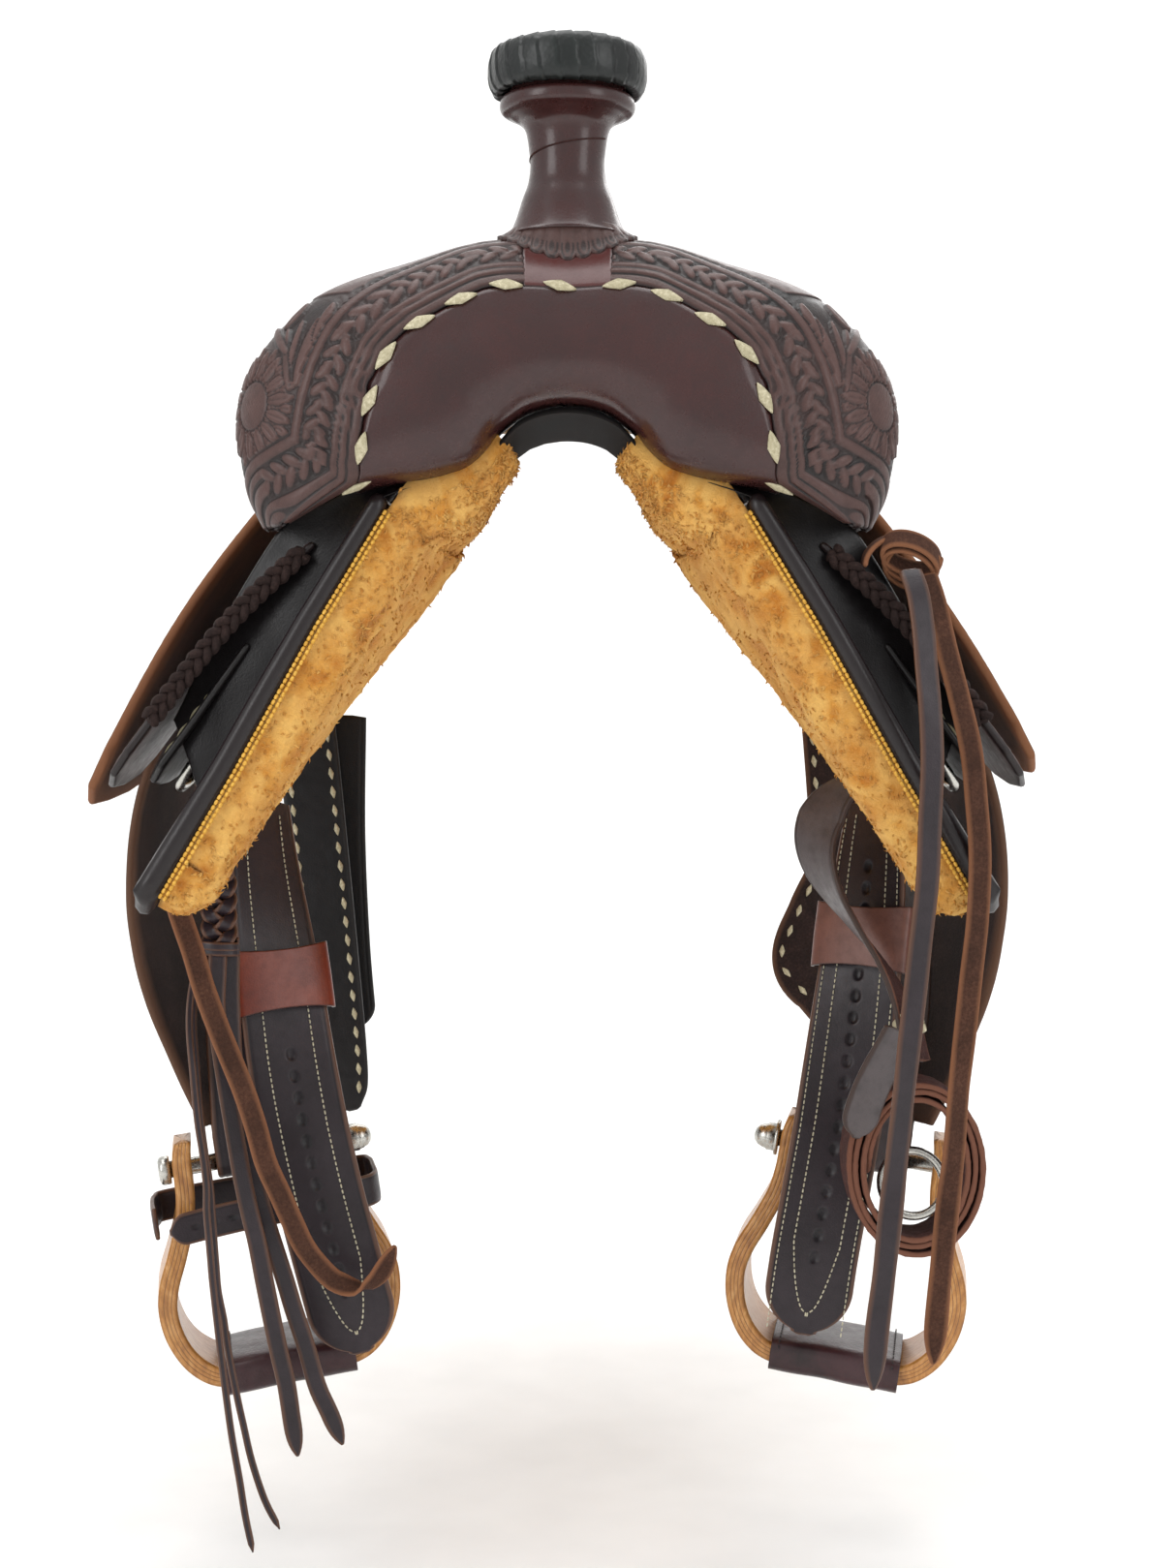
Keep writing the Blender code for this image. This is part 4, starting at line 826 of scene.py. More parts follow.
def fork_surface(side, place, angle):
    """Point of the fork's skin: a rounded section swung between the gullet edge and the crown edge.

    The share from gullet to crown is half plus half of cos, and the depth is sin, both to the power
    2 over the roundness. Angle pi is the gullet edge and the front face lies between pi and 2 pi.
    """
    place, angle = np.broadcast_arrays(np.asarray(place, float), np.asarray(angle, float))
    low = smooth_values(GULLET_EDGE, np.clip(place, 0, 12))
    high = smooth_values(CROWN_EDGE, np.clip(place, 0, 12))
    depth = smooth_values(HALF_DEPTH[:, None], np.clip(place, 0, 12))[..., 0]
    cosine, sine = np.cos(angle), np.sin(angle)
    share = 0.5 + 0.5 * np.sign(cosine) * np.abs(cosine) ** (2 / ROUNDNESS)
    y = GULLET_Y + (CROWN_Y - GULLET_Y) * share + depth * np.sign(sine) * np.abs(sine) ** (2 / ROUNDNESS)
    x = side * (low[..., 0] + (high[..., 0] - low[..., 0]) * share)
    z = low[..., 1] + (high[..., 1] - low[..., 1]) * share
    return np.stack([x, y, z], -1)


def stitch_angle(place):
    """Angle of the buckstitched seam between the gullet cover and the swell covers."""
    share = np.interp(place, np.arange(len(STITCH_SHARE)), STITCH_SHARE)
    span = 2 * share - 1
    return 2 * math.pi - np.arccos(np.sign(span) * np.abs(span) ** (ROUNDNESS / 2))


def seam_line(side, count=160, last=12.0):
    """The seam as a run of points from the centre to the foot of the swell."""
    place = np.linspace(0, last, count)
    angle = stitch_angle(np.minimum(place, 10)) - np.maximum(place - 10, 0) * 0.28
    return fork_surface(side, place, angle)


def plait(along, across, half, pitch):
    """Three-strand plait stamp: two rows of slanted oval lobes, half a pitch apart, highest lobe wins."""
    high = np.zeros_like(along)
    lean = math.radians(46)
    for shift, sign in ((0.0, 1), (0.5, -1)):
        u = ((along / pitch + shift) % 1 - 0.5) * pitch
        for step in (-pitch, 0, pitch):
            a, b = u + step, across - sign * half * 0.40
            long = a * math.cos(lean) + sign * b * math.sin(lean)
            slim = a * math.sin(lean) - sign * b * math.cos(lean)
            lobe = 1 - (np.abs(long) / (half * 0.80)) ** 2.4 - (np.abs(slim) / (pitch * 0.36)) ** 2
            high = np.maximum(high, np.sqrt(np.clip(lobe, 0, 1)))
    return high


def scallops(along, across, pitch, radius):
    """A row of half-round stamp marks with a seed in each: a cut on a ring and a dot in its middle."""
    u = ((along / pitch) % 1 - 0.5) * pitch
    ring = np.hypot(u, across)
    return -bump(ring, radius, 0.8) * (across > -0.6) - 1.3 * bump(ring, 0, 1.0)


def lens(points, start, end, width, bow=0.0):
    """Leaf shape between two points: share along it, and a distance across it that is 1 on its edge."""
    run = end - start
    size = np.linalg.norm(run)
    t = (points - start) @ run / size ** 2
    off = points - start - t[:, None] * run
    gap = np.linalg.norm(off, axis=1)
    outline = width / 2 * np.clip(np.sin(np.clip(t, 0, 1) * math.pi), 0, 1) ** (0.75 + bow) + 1e-6
    return t, np.where((t > 0) & (t < 1), gap / outline, 9.0)


def flower(points, centre, normal, spin, seed=13.0, reach=33.0, petals=14):
    """Sunflower stamp: a domed seed disc with cut dots, and pointed petals with a cut rib and outline.

    In the tangent plane a petal's half-width at distance r is a sine of its share of the length.
    """
    side = unit(np.cross(normal, (0.0, 1.0, 0.0)))
    up = np.cross(side, normal)
    off = points - centre
    r = np.linalg.norm(off, axis=1)
    theta = np.arctan2(off @ up, off @ side) + spin
    high = np.zeros(len(points))
    for layer, (shift, far, wide) in enumerate(((0.5, reach, 5.2), (0.0, reach * 0.9, 5.6))):
        sector = (theta / (2 * math.pi / petals) + shift) % 1 - 0.5
        cross = sector * (2 * math.pi / petals) * r
        t = (r - seed + 1) / (far - seed + 1)
        half = wide * np.sin(np.clip(t, 0, 1) * math.pi) ** 0.7 * 0.62 + 0.01
        inside = np.where((t > 0) & (t < 1), np.abs(cross) / half, 9.0)
        petal = np.clip(1.15 - inside, 0, 0.5) * 1.5 + 0.25
        petal -= 0.55 * bump(cross, 0, 0.5) * (t > 0.1) * (t < 0.72)
        petal -= 0.5 * bump(inside, 1.0, 0.16)
        high = np.where(inside < 1.15, petal + 0.15 * layer, high)
    disc = 0.45 + 0.35 * np.sqrt(np.clip(1 - (r / seed) ** 2, 0, 1))
    dots = np.sin(off @ side * 2.6) * np.sin(off @ up * 2.6)
    disc += 0.16 * dots
    high = np.where(r < seed, disc, high)
    high -= 0.6 * bump(r, seed, 0.7)
    return high, (r < reach) & (high != 0)


def swell_relief(points, side, normals):
    """Tooling of a swell cover in millimetres, and its relief value.

    Bands follow the distance from the seam: plain edge, grooved border, plait, border. Beyond them lie
    the stippled ground with a sunflower and leaf blades, and plain leather over the crown.
    """
    seam = seam_line(side)
    q, s = to_line(points, seam[6:])
    high = np.zeros(len(points))
    relief = np.zeros(len(points))
    for centre, deep, wide in ((6.2, 0.9, 0.55), (10.6, 0.5, 0.4), (15.4, 1.0, 0.55), (32.2, 1.0, 0.55),
                               (38.6, 0.9, 0.6)):
        high -= deep * bump(q, centre, wide)
        relief -= bump(q, centre, wide * 1.15)
    for centre, wide in ((8.4, 1.7), (13.0, 1.9), (35.4, 2.4)):
        high += 0.5 * bump(q, centre, wide)
        relief += 0.35 * bump(q, centre, wide)
    in_band = window(q, 16.2, 31.6, 0.25)
    lobes = plait(s, q - 23.9, 7.8, 8.6)
    high += in_band * (1.9 * lobes - 1.0)
    relief += in_band * (np.clip(lobes * 3.0 - 2.0, -1, 0.4))
    dots = scallops(s, q - 40.4, 6.2, 2.3) * window(q, 38.8, 44.5, 0.3) * window(s, 20, 120, 3)
    high += 0.9 * dots
    relief += 0.9 * np.minimum(dots, 0)
    centre = np.array([side * 165.5, -6.0, 1.0])
    near = np.argmin(np.linalg.norm(points - centre, axis=1))
    bloom, in_bloom = flower(points, points[near], normals[near], 0.2)
    front = points[:, 1] < 42
    field = (q > 39.6) & front
    ground = field & ~in_bloom & (points[:, 2] < 58)
    high = np.where(field & in_bloom, 1.1 * bloom - 0.35, high)
    relief = np.where(field & in_bloom, np.clip(bloom * 1.6 - 0.85, -1, 0.5), relief)
    stipple = 0.16 * np.sin(points[:, 0] * 4.4) * np.sin(points[:, 2] * 4.1 + points[:, 1] * 3.7)
    high = np.where(ground, -0.75 + stipple, high)
    relief = np.where(ground, -0.8 + stipple, relief)
    for x0, z0, x1, z1, wide in ((124, 46, 137, 8, 8.5), (134, 44, 141, 14, 5.0), (142, 40, 140, 6, 6.0),
                                 (118, 52, 128, 30, 7.0), (150, 42, 142, 26, 7.0), (133, 54, 145, 40, 8.0)):
        ends = [points[np.argmin(np.abs(points[:, 0] - side * x) + np.abs(points[:, 2] - z)
                                 + np.abs(points[:, 1] + 12) * 0.15)] for x, z in ((x0, z0), (x1, z1))]
        t, rim = lens(points, ends[0], ends[1], wide, -0.25)
        inside = (rim < 1.25) & (q > 39)
        blade = np.clip(1.25 - rim, 0, 0.6) * 1.5 - 0.5 * bump(rim, 0, 0.28) * (t > 0.15) * (t < 0.9)
        high = np.where(inside, blade, high)
        relief = np.where(inside, np.clip(blade * 1.8 - 0.9, -1, 0.5), relief)
    return high, np.clip(relief, -1, 1)


def make_covers():
    """Gullet crescent, tab under the horn, tooled swell covers and the buckstitched seam between them."""
    cols = 210
    for label, side in SIDES.items():
        u = np.linspace(0, 1, 290)[:, None]
        v = np.linspace(0, 1, cols)[None, :]
        first = 0.78 * (1 / (1 + np.exp((v - 0.30) / 0.03))) + 0.04
        place = first + (12 - first) * u
        start = stitch_angle(np.minimum(place, 10)) + 0.03 - 2 * math.pi - np.maximum(place - 10, 0) * 0.28
        angle = start + (0.80 * math.pi - start) * v
        grid = fork_surface(side, place, angle)
        normals = grid_normals(grid)
        normals *= np.sign(np.sum(normals * (grid - (side * 80, 20, 10))))
        high, relief = swell_relief(grid.reshape(-1, 3), side, normals.reshape(-1, 3))
        high = high.reshape(grid.shape[:2])
        shape = closed_sheet(grid + normals * high[..., None], grid - normals * COVER_THICKNESS,
                             relief.reshape(grid.shape[:2]), rounding=2)
        piece("tooled_swell_" + label, shape, MATERIALS["tooled"], "saddle_body",
              ["swell_cover_" + label])
    place = np.linspace(-10.2, 10.2, 260)[:, None]
    side = np.where(place < 0, -1.0, 1.0)
    v = np.linspace(0, 1, 110)[None, :]
    end = stitch_angle(np.abs(place)) + 0.07
    angle = 0.58 * math.pi + (end - 0.58 * math.pi) * v
    grid = fork_surface(1, np.abs(place), angle) * np.concatenate([side, np.ones_like(side),
                                                                   np.ones_like(side)], 1)[:, None, :]
    normals = grid_normals(grid)
    normals *= np.sign(np.sum(normals * (grid - (0, 20, 10))))
    tuck = (np.clip((angle - end + 0.10) / 0.04, 0, 1) * 2.6
            + np.clip((0.84 * math.pi - angle) / 0.05, 0, 1) * 1.5)
    lip = 0.7 * noise(grid, 45)[..., None] - tuck[..., None]
    shape = closed_sheet(grid + normals * lip, grid - normals * COVER_THICKNESS, rounding=3)
    piece("gullet_crescent", shape, MATERIALS["smooth"], "saddle_body", ["gullet_cover"])
    x = np.linspace(-22.5, 22.5, 60)
    place = np.abs(x)[:, None] / 32 * 1.0
    v = np.linspace(0, 1, 40)[None, :]
    low = stitch_angle(place) - 0.02
    angle = low + (2 * math.pi - 0.28 - low) * v
    grid = fork_surface(1, place, angle)
    grid[..., 0] = x[:, None] * (0.94 + 0.06 * v)
    normals = grid_normals(grid)
    normals *= np.sign(np.sum(normals * (grid - (0, 20, 10))))
    shape = closed_sheet(grid + normals * 0.1, grid - normals * 2.4, rounding=3, step=6)
    piece("horn_tab", shape, MATERIALS["panel"], "saddle_body")
    make_fork_stitches()


# Share by which each rawhide stitch leans back across the seam.
STITCH_LEAN = 0.20


def make_fork_stitches():
    """Fifteen rawhide lozenges along the seam, leaning across it."""
    centres, runs, normals = [], [], []
    for side, count, first in ((-1, 7, 31.0), (1, 7, 26.0)):
        line = seam_line(side, 400, 10.2)
        length = lengths_along(line)
        places = first + np.arange(count) * (length[-1] - first - 3) / (count - 1)
        if side < 0:
            places = np.concatenate([[4.0], places])
        for place in places:
            at = np.array([np.interp(place, length, line[:, k]) for k in range(3)])
            ahead = np.array([np.interp(place + 2, length, line[:, k]) for k in range(3)])
            index = np.interp(place, length, np.linspace(0, 10.2, 400))
            here = fork_surface(side, index, stitch_angle(index))
            wide = fork_surface(side, index, stitch_angle(index) - 0.04) - here
            run = unit(ahead - at)
            normal = np.cross(run, unit(wide))
            normal *= np.sign(-normal[1])
            centres.append(at + normal * 0.5 + unit(wide) * 1.2)
            runs.append(run - unit(wide) * STITCH_LEAN)
            normals.append(normal)
    shape = lozenges(np.array(centres), np.array(runs), unit(np.array(normals)), 17.0, 6.6, 1.2)
    piece("fork_buckstitches", shape, MATERIALS["rawhide"], "saddle_body")


def make_horn():
    """Leather-covered horn: turned neck, welted under-cap, wrapped rim, cap top and scalloped collar."""
    centre = (0, HORN_Y, 0)
    key = np.array([(31.5, 90), (29.8, 92), (26.8, 99), (23.6, 109), (20.6, 117), (19.3, 125), (19.5, 132),
                    (22.1, 145.5), (29.2, 151.2), (33.6, 153.2), (34.9, 156), (34.4, 159.5), (32.8, 161.2)], float)
    profile = smooth_line(np.column_stack([key, np.zeros(len(key))]), 90)[:, :2]
    inner = np.array([(12.2, 161.0), (11.8, 130), (11.8, 90.2)], float)
    neck = turned(np.vstack([profile, inner]), centre, sides=96, closed=True)
    swirl = neck.verts.copy()
    wave = noise(neck.verts * (1, 1, 0.35), 16) * 0.35
    away = unit((neck.verts - centre) * (1, 1, 0))
    neck.verts = swirl + away * wave[:, None]
    piece("horn_neck_leather", neck, MATERIALS["smooth"], "saddle_body", ["horn_neck"])
    turn = np.linspace(-2.6, 1.2, 70)
    z = 126 + (turn + 2.6) / 3.8 * 13
    r = np.interp(z, profile[:60, 1], profile[:60, 0]) + 0.25
    line = np.column_stack([r * np.sin(turn), HORN_Y - r * np.cos(turn), z])
    piece("horn_neck_thread", tube(line, 0.45, 6), MATERIALS["flesh"], "saddle_body")
    make_horn_rim(centre)
    make_horn_collar(centre)


def make_horn_rim(centre):
    """Rim wrapped in black leather with overlapping turns, and the domed leather cap inside it."""
    turns = np.linspace(0, 2 * math.pi, 241)[:-1]
    around = np.linspace(0, 2 * math.pi, 41)[:-1]
    wraps = 26
    lap = ((turns[:, None] * wraps / (2 * math.pi) + around[None, :] * 0.16) % 1)
    swell = 0.55 * (lap ** 2) - 0.5 * bump(lap, 0.02, 0.05) + 0.25 * np.sin(turns * 3)[:, None]
    half_r, half_z = 5.6 + swell, 11.6 + swell
    squash = np.sign(np.sin(around)) * np.abs(np.sin(around)) ** 0.85
    radius = 35.2 + half_r * np.sign(np.cos(around)) * np.abs(np.cos(around)) ** 0.85
    z = 174.0 + half_z * squash
    grid = np.stack([radius * np.cos(turns)[:, None], HORN_Y + radius * np.sin(turns)[:, None], z], -1)
    # The lap height also sets the relief: painted shade in the dip under each lapped turn and a painted highlight
    # on its raised edge.
    relief = np.clip(swell * 0.8 - 0.15, -1, 1)
    piece("horn_rim_wrap", swept(grid, relief, closed=True), MATERIALS["rim"], "saddle_body",
          ["horn_cap_binding"])
    cap = smooth_line([(0.6, 158.5, 0), (20, 158, 0), (29.5, 158.8, 0), (30.3, 163, 0), (30.3, 176, 0),
                       (29.6, 183, 0), (26, 185.4, 0), (14, 186.0, 0), (0.6, 186.2, 0)], 70)[:, :2]
    piece("horn_cap_leather", turned(cap, centre, sides=80), MATERIALS["smooth"], "saddle_body",
          ["horn_cap"])
    ring = np.column_stack([24.5 * np.cos(turns), HORN_Y + 24.5 * np.sin(turns), np.full(240, 185.6)])
    piece("horn_cap_stitches", stitch_row(np.vstack([ring, ring[:1]]), np.array([(0, 0, 1.0)]), 3.2, 0.8),
          MATERIALS["dark_thread"], "saddle_body")


def make_horn_collar(centre):
    """Scalloped collar: a sloping washer whose outer edge bulges in 26 lobes, each with a punched seed."""
    lobes = 26
    turns = np.linspace(0, 2 * math.pi, 26 * 12 + 1)[:-1]
    lobe = np.abs(np.sin(turns * lobes / 2)) ** 0.7
    share = np.linspace(0, 1, 26)
    radius = 28.6 + (5.6 + 2.4 * lobe[:, None]) * share[None, :]
    on = fork_top(radius * np.cos(turns)[:, None], HORN_Y + radius * np.sin(turns)[:, None])
    z = on + 2.2 + (94.0 - on - 2.2) * (1 - share[None, :]) ** 1.7
    u = (turns * lobes / (2 * math.pi)) % 1 - 0.5
    across = (share[None, :] - 0.66) * 8.0
    seed = np.hypot(u[:, None] * 8.2, across)
    dent = -1.0 * bump(seed, 0, 1.25) - 0.7 * bump(seed, 3.0, 0.6) * (across > -0.8)
    grid = np.stack([radius * np.cos(turns)[:, None], HORN_Y + radius * np.sin(turns)[:, None],
                     z + dent * 0.9], -1)
    low = grid.copy()
    low[..., 2] = on - 0.6
    section = np.concatenate([grid, low[:, ::-1]], axis=1)
    relief = np.concatenate([np.clip(dent * 1.1 + 0.15, -1, 1), np.zeros_like(dent)], axis=1)
    piece("horn_collar", swept(section, relief, closed=True), MATERIALS["tooled"], "saddle_body")


def fork_top(x, y):
    """Height of the fork's skin above a place near the horn, by the section formula turned round."""
    place = np.clip(np.abs(x) / 32, 0, 1.6)
    low = smooth_values(GULLET_EDGE, place)[..., 1]
    high = smooth_values(CROWN_EDGE, place)[..., 1]
    share = np.full_like(x, 0.97)
    for _ in range(8):
        across = np.clip(np.abs(y - GULLET_Y - (CROWN_Y - GULLET_Y) * share) / 48, 0, 0.999)
        cosine = np.sqrt(1 - across ** ROUNDNESS)
        share = 0.5 + 0.5 * cosine ** (2 / ROUNDNESS)
    return low + (high - low) * share


def make_gullet_lining():
    """Black leather arch over the hand hole, matt, with a turned front edge."""
    arch = smooth_line([(-34, 0, -19.5), (-25, 0, -10.0), (-13, 0, -4.6), (0, 0, -3.0),
                        (13, 0, -4.6), (25, 0, -10.0), (34, 0, -19.5)], 90)
    y = np.linspace(-14, 105, 60)
    outer = np.stack(np.broadcast_arrays(arch[None, :, 0], y[:, None], arch[None, :, 2]), -1).copy()
    outer[..., 2] += 2.6 * bump(y[:, None], -9, 5)
    outer[..., 2] -= 0.8 * ((y[:, None] + 6) / 111) - 0.3 * noise(outer, 24)
    inner = outer - np.array([0, 0, 2.0])
    piece("gullet_arch", closed_sheet(outer, inner), MATERIALS["lining"], "saddle_body",
          ["gullet_lining"])

# ---------------------------------------------------------------- skirts, fleece and jockeys

FRONT_SECTION = np.array([(30, -20), (44, -31), (60, -41), (90, -50), (128, -112), (171, -188), (213, -258)], float)
REAR_SECTION = np.array([(48, 34), (62, 26), (78, 14), (100, -4), (150, -55), (205, -118), (255, -185)], float)
PANEL_FRONT_Y, PANEL_REAR_Y = -10, 620
SKIRT_TOP = 3.05
SKIRT_CUT_Y = [-10, -2, 45, 65, 84, 110, 400, 470, 560, 600, 620]
SKIRT_CUT = [0.97, 1.0, 1.0, 0.88, 0.64, 0.62, 0.62, 0.72, 0.72, 0.60, 0.42]
SKIRT_THICKNESS = 4.4
FLEECE_THICKNESS = [10, 14, 20, 24, 24, 24, 22]
BAR_PAD = 17


def panel_point(place, y):
    """Point of the skirt panel: the front and rear sections blended by the distance from the front."""
    place, y = np.broadcast_arrays(np.asarray(place, float), np.asarray(y, float))
    share = np.clip(y / PANEL_REAR_Y, 0, 1)[..., None]
    index = np.arange(7)
    front = np.stack([np.interp(place, index, FRONT_SECTION[:, k]) for k in (0, 1)], -1)
    rear = np.stack([np.interp(place, index, REAR_SECTION[:, k]) for k in (0, 1)], -1)
    flat = front * (1 - share) + rear * share
    return np.stack([flat[..., 0], y, flat[..., 1]], -1)


def panel_normal(place, y):
    """Direction out of the panel, away from the horse."""
    run = panel_point(np.minimum(place + 0.35, 6), y) - panel_point(np.maximum(place - 0.35, 0), y)
    return unit(np.stack([-run[..., 2], 0 * run[..., 0], run[..., 0]], -1))


def on_panel(side, place, y, lift):
    """Point lifted off the panel, on one side of the saddle."""
    point = panel_point(place, y) + panel_normal(place, y) * np.asarray(lift, float)[..., None]
    return point * (side, 1, 1)


def bottom_place(y):
    """Section place of the skirt's lower edge."""
    return SKIRT_TOP + (6 - SKIRT_TOP) * np.interp(y, SKIRT_CUT_Y, SKIRT_CUT)


def fleece_depth(place, y):
    """Thickness of the fleece, with the swell of the bar pad behind the fork."""
    pad = (BAR_PAD * np.clip(y / 90, 0, 1) * np.clip((430 - y) / 200, 0, 1)
           * np.exp(-((place - 3.3) / 1.5) ** 2))
    return np.interp(place, np.arange(7), FLEECE_THICKNESS) + pad


def crimp(points):
    """Wool surface: warped noise of three sizes, folded so that locks stand between thin partings, which the relief
    paints dark as painted shade.
    """
    warp = np.stack([noise(points + k * 31.0, 14) for k in range(3)], -1) * 5.0
    p = (points + warp) * (1, 0.75, 1)
    big = 1 - 2 * np.abs(noise(p, 17))
    mid = 1 - 2 * np.abs(noise(p, 8.5))
    fine = noise(p, 3.6)
    return 0.5 * big + 0.35 * mid + 0.25 * fine


def make_skirts():
    """Skirt leather with a creased edge, and the gold thread chain that joins it to its fleece."""
    for label, side in SIDES.items():
        y = np.concatenate([np.linspace(-10, 120, 80), np.linspace(122, 620, 50)])[:, None]
        share = np.linspace(0, 1, 100)[None, :]
        place = SKIRT_TOP + (bottom_place(y) - SKIRT_TOP) * share
        lift = np.full(place.shape, SKIRT_THICKNESS + 1.0)
        base = on_panel(side, place, y, lift)
        front = base[:, :, 1] + 10
        low = (bottom_place(y) - place) * 76
        rim = np.minimum(front, low)
        high = -0.7 * bump(rim, 4.5, 0.7) + 0.35 * bump(rim, 2.2, 1.6) - 0.35 * bump(rim, 8.5, 0.6)
        high = high + 0.5 * noise(base, 60)
        edge_band = 7.0 * np.exp(-(y + 10) / 26) * (0.75 + 0.5 * share)
        outer = on_panel(side, place, y, lift + high + edge_band)
        inner = on_panel(side, place, y, np.full(place.shape, 1.0))
        relief = np.clip(high, -1, 0.4)
        shape = closed_sheet(outer, inner, relief, rounding=3)
        piece("skirt_leather_" + label, shape, MATERIALS["skirt"], "saddle_body",
              ["skirt_" + label])
        line_place = np.linspace(SKIRT_TOP, 5.9, 240)
        chain = []
        for shift in (-1.3, 1.3):
            edge = on_panel(side, line_place, np.full(240, -12.6), np.full(240, -1.0) + shift)
            chain.append(stitch_row(edge, np.array([(0, -1.0, 0)]), 3.1, 1.9, 0.95, 0.2))
        piece("fleece_chain_stitch_" + label, join(chain), MATERIALS["gold_thread"], "saddle_body")


def make_fleece():
    """Shearling lining: a pillow over the panel whose height rises by a sine at every border, crimped
    along its normals, with loose locks standing out of it."""
    rng = np.random.default_rng(SEED)
    for label, side in SIDES.items():
        quarter = np.linspace(0, math.pi / 2, 34)
        rise_y = np.concatenate([np.sin(quarter) ** 0.8, np.ones(200), np.sin(quarter[::-1][::3]) ** 0.8])
        y = np.concatenate([-9.5 + 13 * (1 - np.cos(quarter)), np.linspace(5, 606, 200),
                            606 + 13 * np.cos(quarter[::-1][::3])])
        y = y[:, None]
        turn = np.linspace(0, math.pi / 2, 18)
        rise_p = np.concatenate([np.sin(turn) ** 0.7, np.ones(150), np.sin(turn[::-1]) ** 0.7])
        top, low = 0.05, bottom_place(y) - 0.03
        share = np.concatenate([0.05 * (1 - np.cos(turn)), np.linspace(0.052, 0.955, 150),
                                0.955 + 0.045 * np.cos(turn[::-1])])[None, :]
        place = top + (low - top) * share
        depth = fleece_depth(place, y) * rise_y[:, None] * rise_p[None, :]
        grid = on_panel(side, place, y, -depth)
        normals = grid_normals(grid)
        facing = np.sum(normals * (panel_normal(place, y) * (side, 1, 1)))
        normals = normals * (-1 if facing > 0 else 1)
        curl = crimp(grid)
        hold = np.minimum(rise_y[:, None], rise_p[None, :])
        stand = 2.2 * curl * hold ** 0.5
        outer = grid + normals * stand[..., None]
        fill = 10.0 * np.clip((2.95 - place) / 0.35, 0, 1) * np.clip((120 - y) / 60, 0, 1)
        inner = on_panel(side, place, y, fill)
        outer[0], outer[-1], outer[:, 0], outer[:, -1] = inner[0], inner[-1], inner[:, 0], inner[:, -1]
        # The crimp also sets the relief: painted shade in the partings and a painted highlight on the crests.
        relief = np.clip(curl * 1.5 + 0.1, -1, 1)
        pile = closed_sheet(outer, inner, relief, rounding=0, step=8)
        piece("shearling_" + label, pile, MATERIALS["fleece"], "saddle_body", ["fleece_" + label])
        rows, cols = grid.shape[:2]
        weight = np.where(np.arange(rows) < 60, 5.0, 1.0)
        pick_r = rng.choice(rows, 3000, p=weight / weight.sum())
        pick_c = rng.integers(2, cols - 2, 3000)
        roots = outer[pick_r, pick_c]
        up = normals[pick_r, pick_c]
        locks = wool_locks(rng, roots, up)
        piece("shearling_locks_" + label, locks, MATERIALS["fleece"], "saddle_body")


def wool_locks(rng, roots, up):
    """Tapered curved locks: each bends along a quarter circle towards a random side as it thins."""
    count = len(roots)
    lean = unit(rng.normal(size=(count, 3)) + np.array([0, -0.4, -0.7]))
    lean = unit(lean - up * (lean * up).sum(1, keepdims=True))
    side = np.cross(up, lean)
    size = rng.uniform(2.0, 4.6, count)
    girth = rng.uniform(0.45, 1.0, count)
    t = np.linspace(0, 1, 5)
    bend = rng.uniform(1.2, 3.0, count)
    rise = np.sin(t[None, :] * bend[:, None]) / bend[:, None]
    drift = (1 - np.cos(t[None, :] * bend[:, None])) / bend[:, None]
    line = (roots - up * 0.8)[:, None] + size[:, None, None] * (up[:, None] * rise[..., None]
                                                               + lean[:, None] * drift[..., None])
    turns = np.arange(4) * math.pi / 2
    thin = girth[:, None] * (1 - 0.8 * t[None, :] ** 1.5)
    ring = (np.cos(turns)[None, None, :, None] * side[:, None, None]
            + np.sin(turns)[None, None, :, None] * lean[:, None, None])
    verts = line[:, :, None] + ring * thin[..., None, None]
    base = grid_quads(5, 4, True)
    caps = np.array([(3, 2, 1, 0), (16, 17, 18, 19)])
    quads = np.concatenate([base, caps])[None] + (np.arange(count) * 20)[:, None, None]
    # Each lock's tone varies at random and rises towards the tip: the darker root is painted shade and the lighter
    # tip a painted highlight.
    tone_and_root_shade = np.repeat(rng.uniform(-0.25, 0.75, count), 20) + np.tile(np.repeat(t, 4) * 0.3, count)
    return Shape(verts.reshape(-1, 3), quads.reshape(-1, 4), relief=np.clip(tone_and_root_shade, -1, 1))


def ruled(side, section, ys, trims, thickness, rows, cols):
    """Fine grid of a flap: a smoothed section swept along the saddle, its lower edge cut by trims.

    Gives the outer face, the inner face, distances down the section and from the nearest free edge.
    """
    line = smooth_line(np.array([(x, 0, z) for x, z in section], float), 200)
    steps = lengths_along(line)
    y = np.linspace(ys[0], ys[-1], rows)
    trim = np.interp(y, ys, trims)
    down = np.linspace(0, 1, cols)[None, :] * trim[:, None] * steps[-1]
    x = np.interp(down, steps, line[:, 0])
    z = np.interp(down, steps, line[:, 2])
    dx = np.interp(down + 1, steps, line[:, 0]) - np.interp(down - 1, steps, line[:, 0])
    dz = np.interp(down + 1, steps, line[:, 2]) - np.interp(down - 1, steps, line[:, 2])
    normal = unit(np.stack([side * -dz, 0 * dx, dx], -1))
    middle = np.stack([side * x, np.broadcast_to(y[:, None], x.shape), z], -1)
    half = normal * thickness / 2
    rim = np.minimum(np.minimum(y - ys[0], ys[-1] - y)[:, None], trim[:, None] * steps[-1] - down)
    return middle + half, middle - half, down, rim, normal


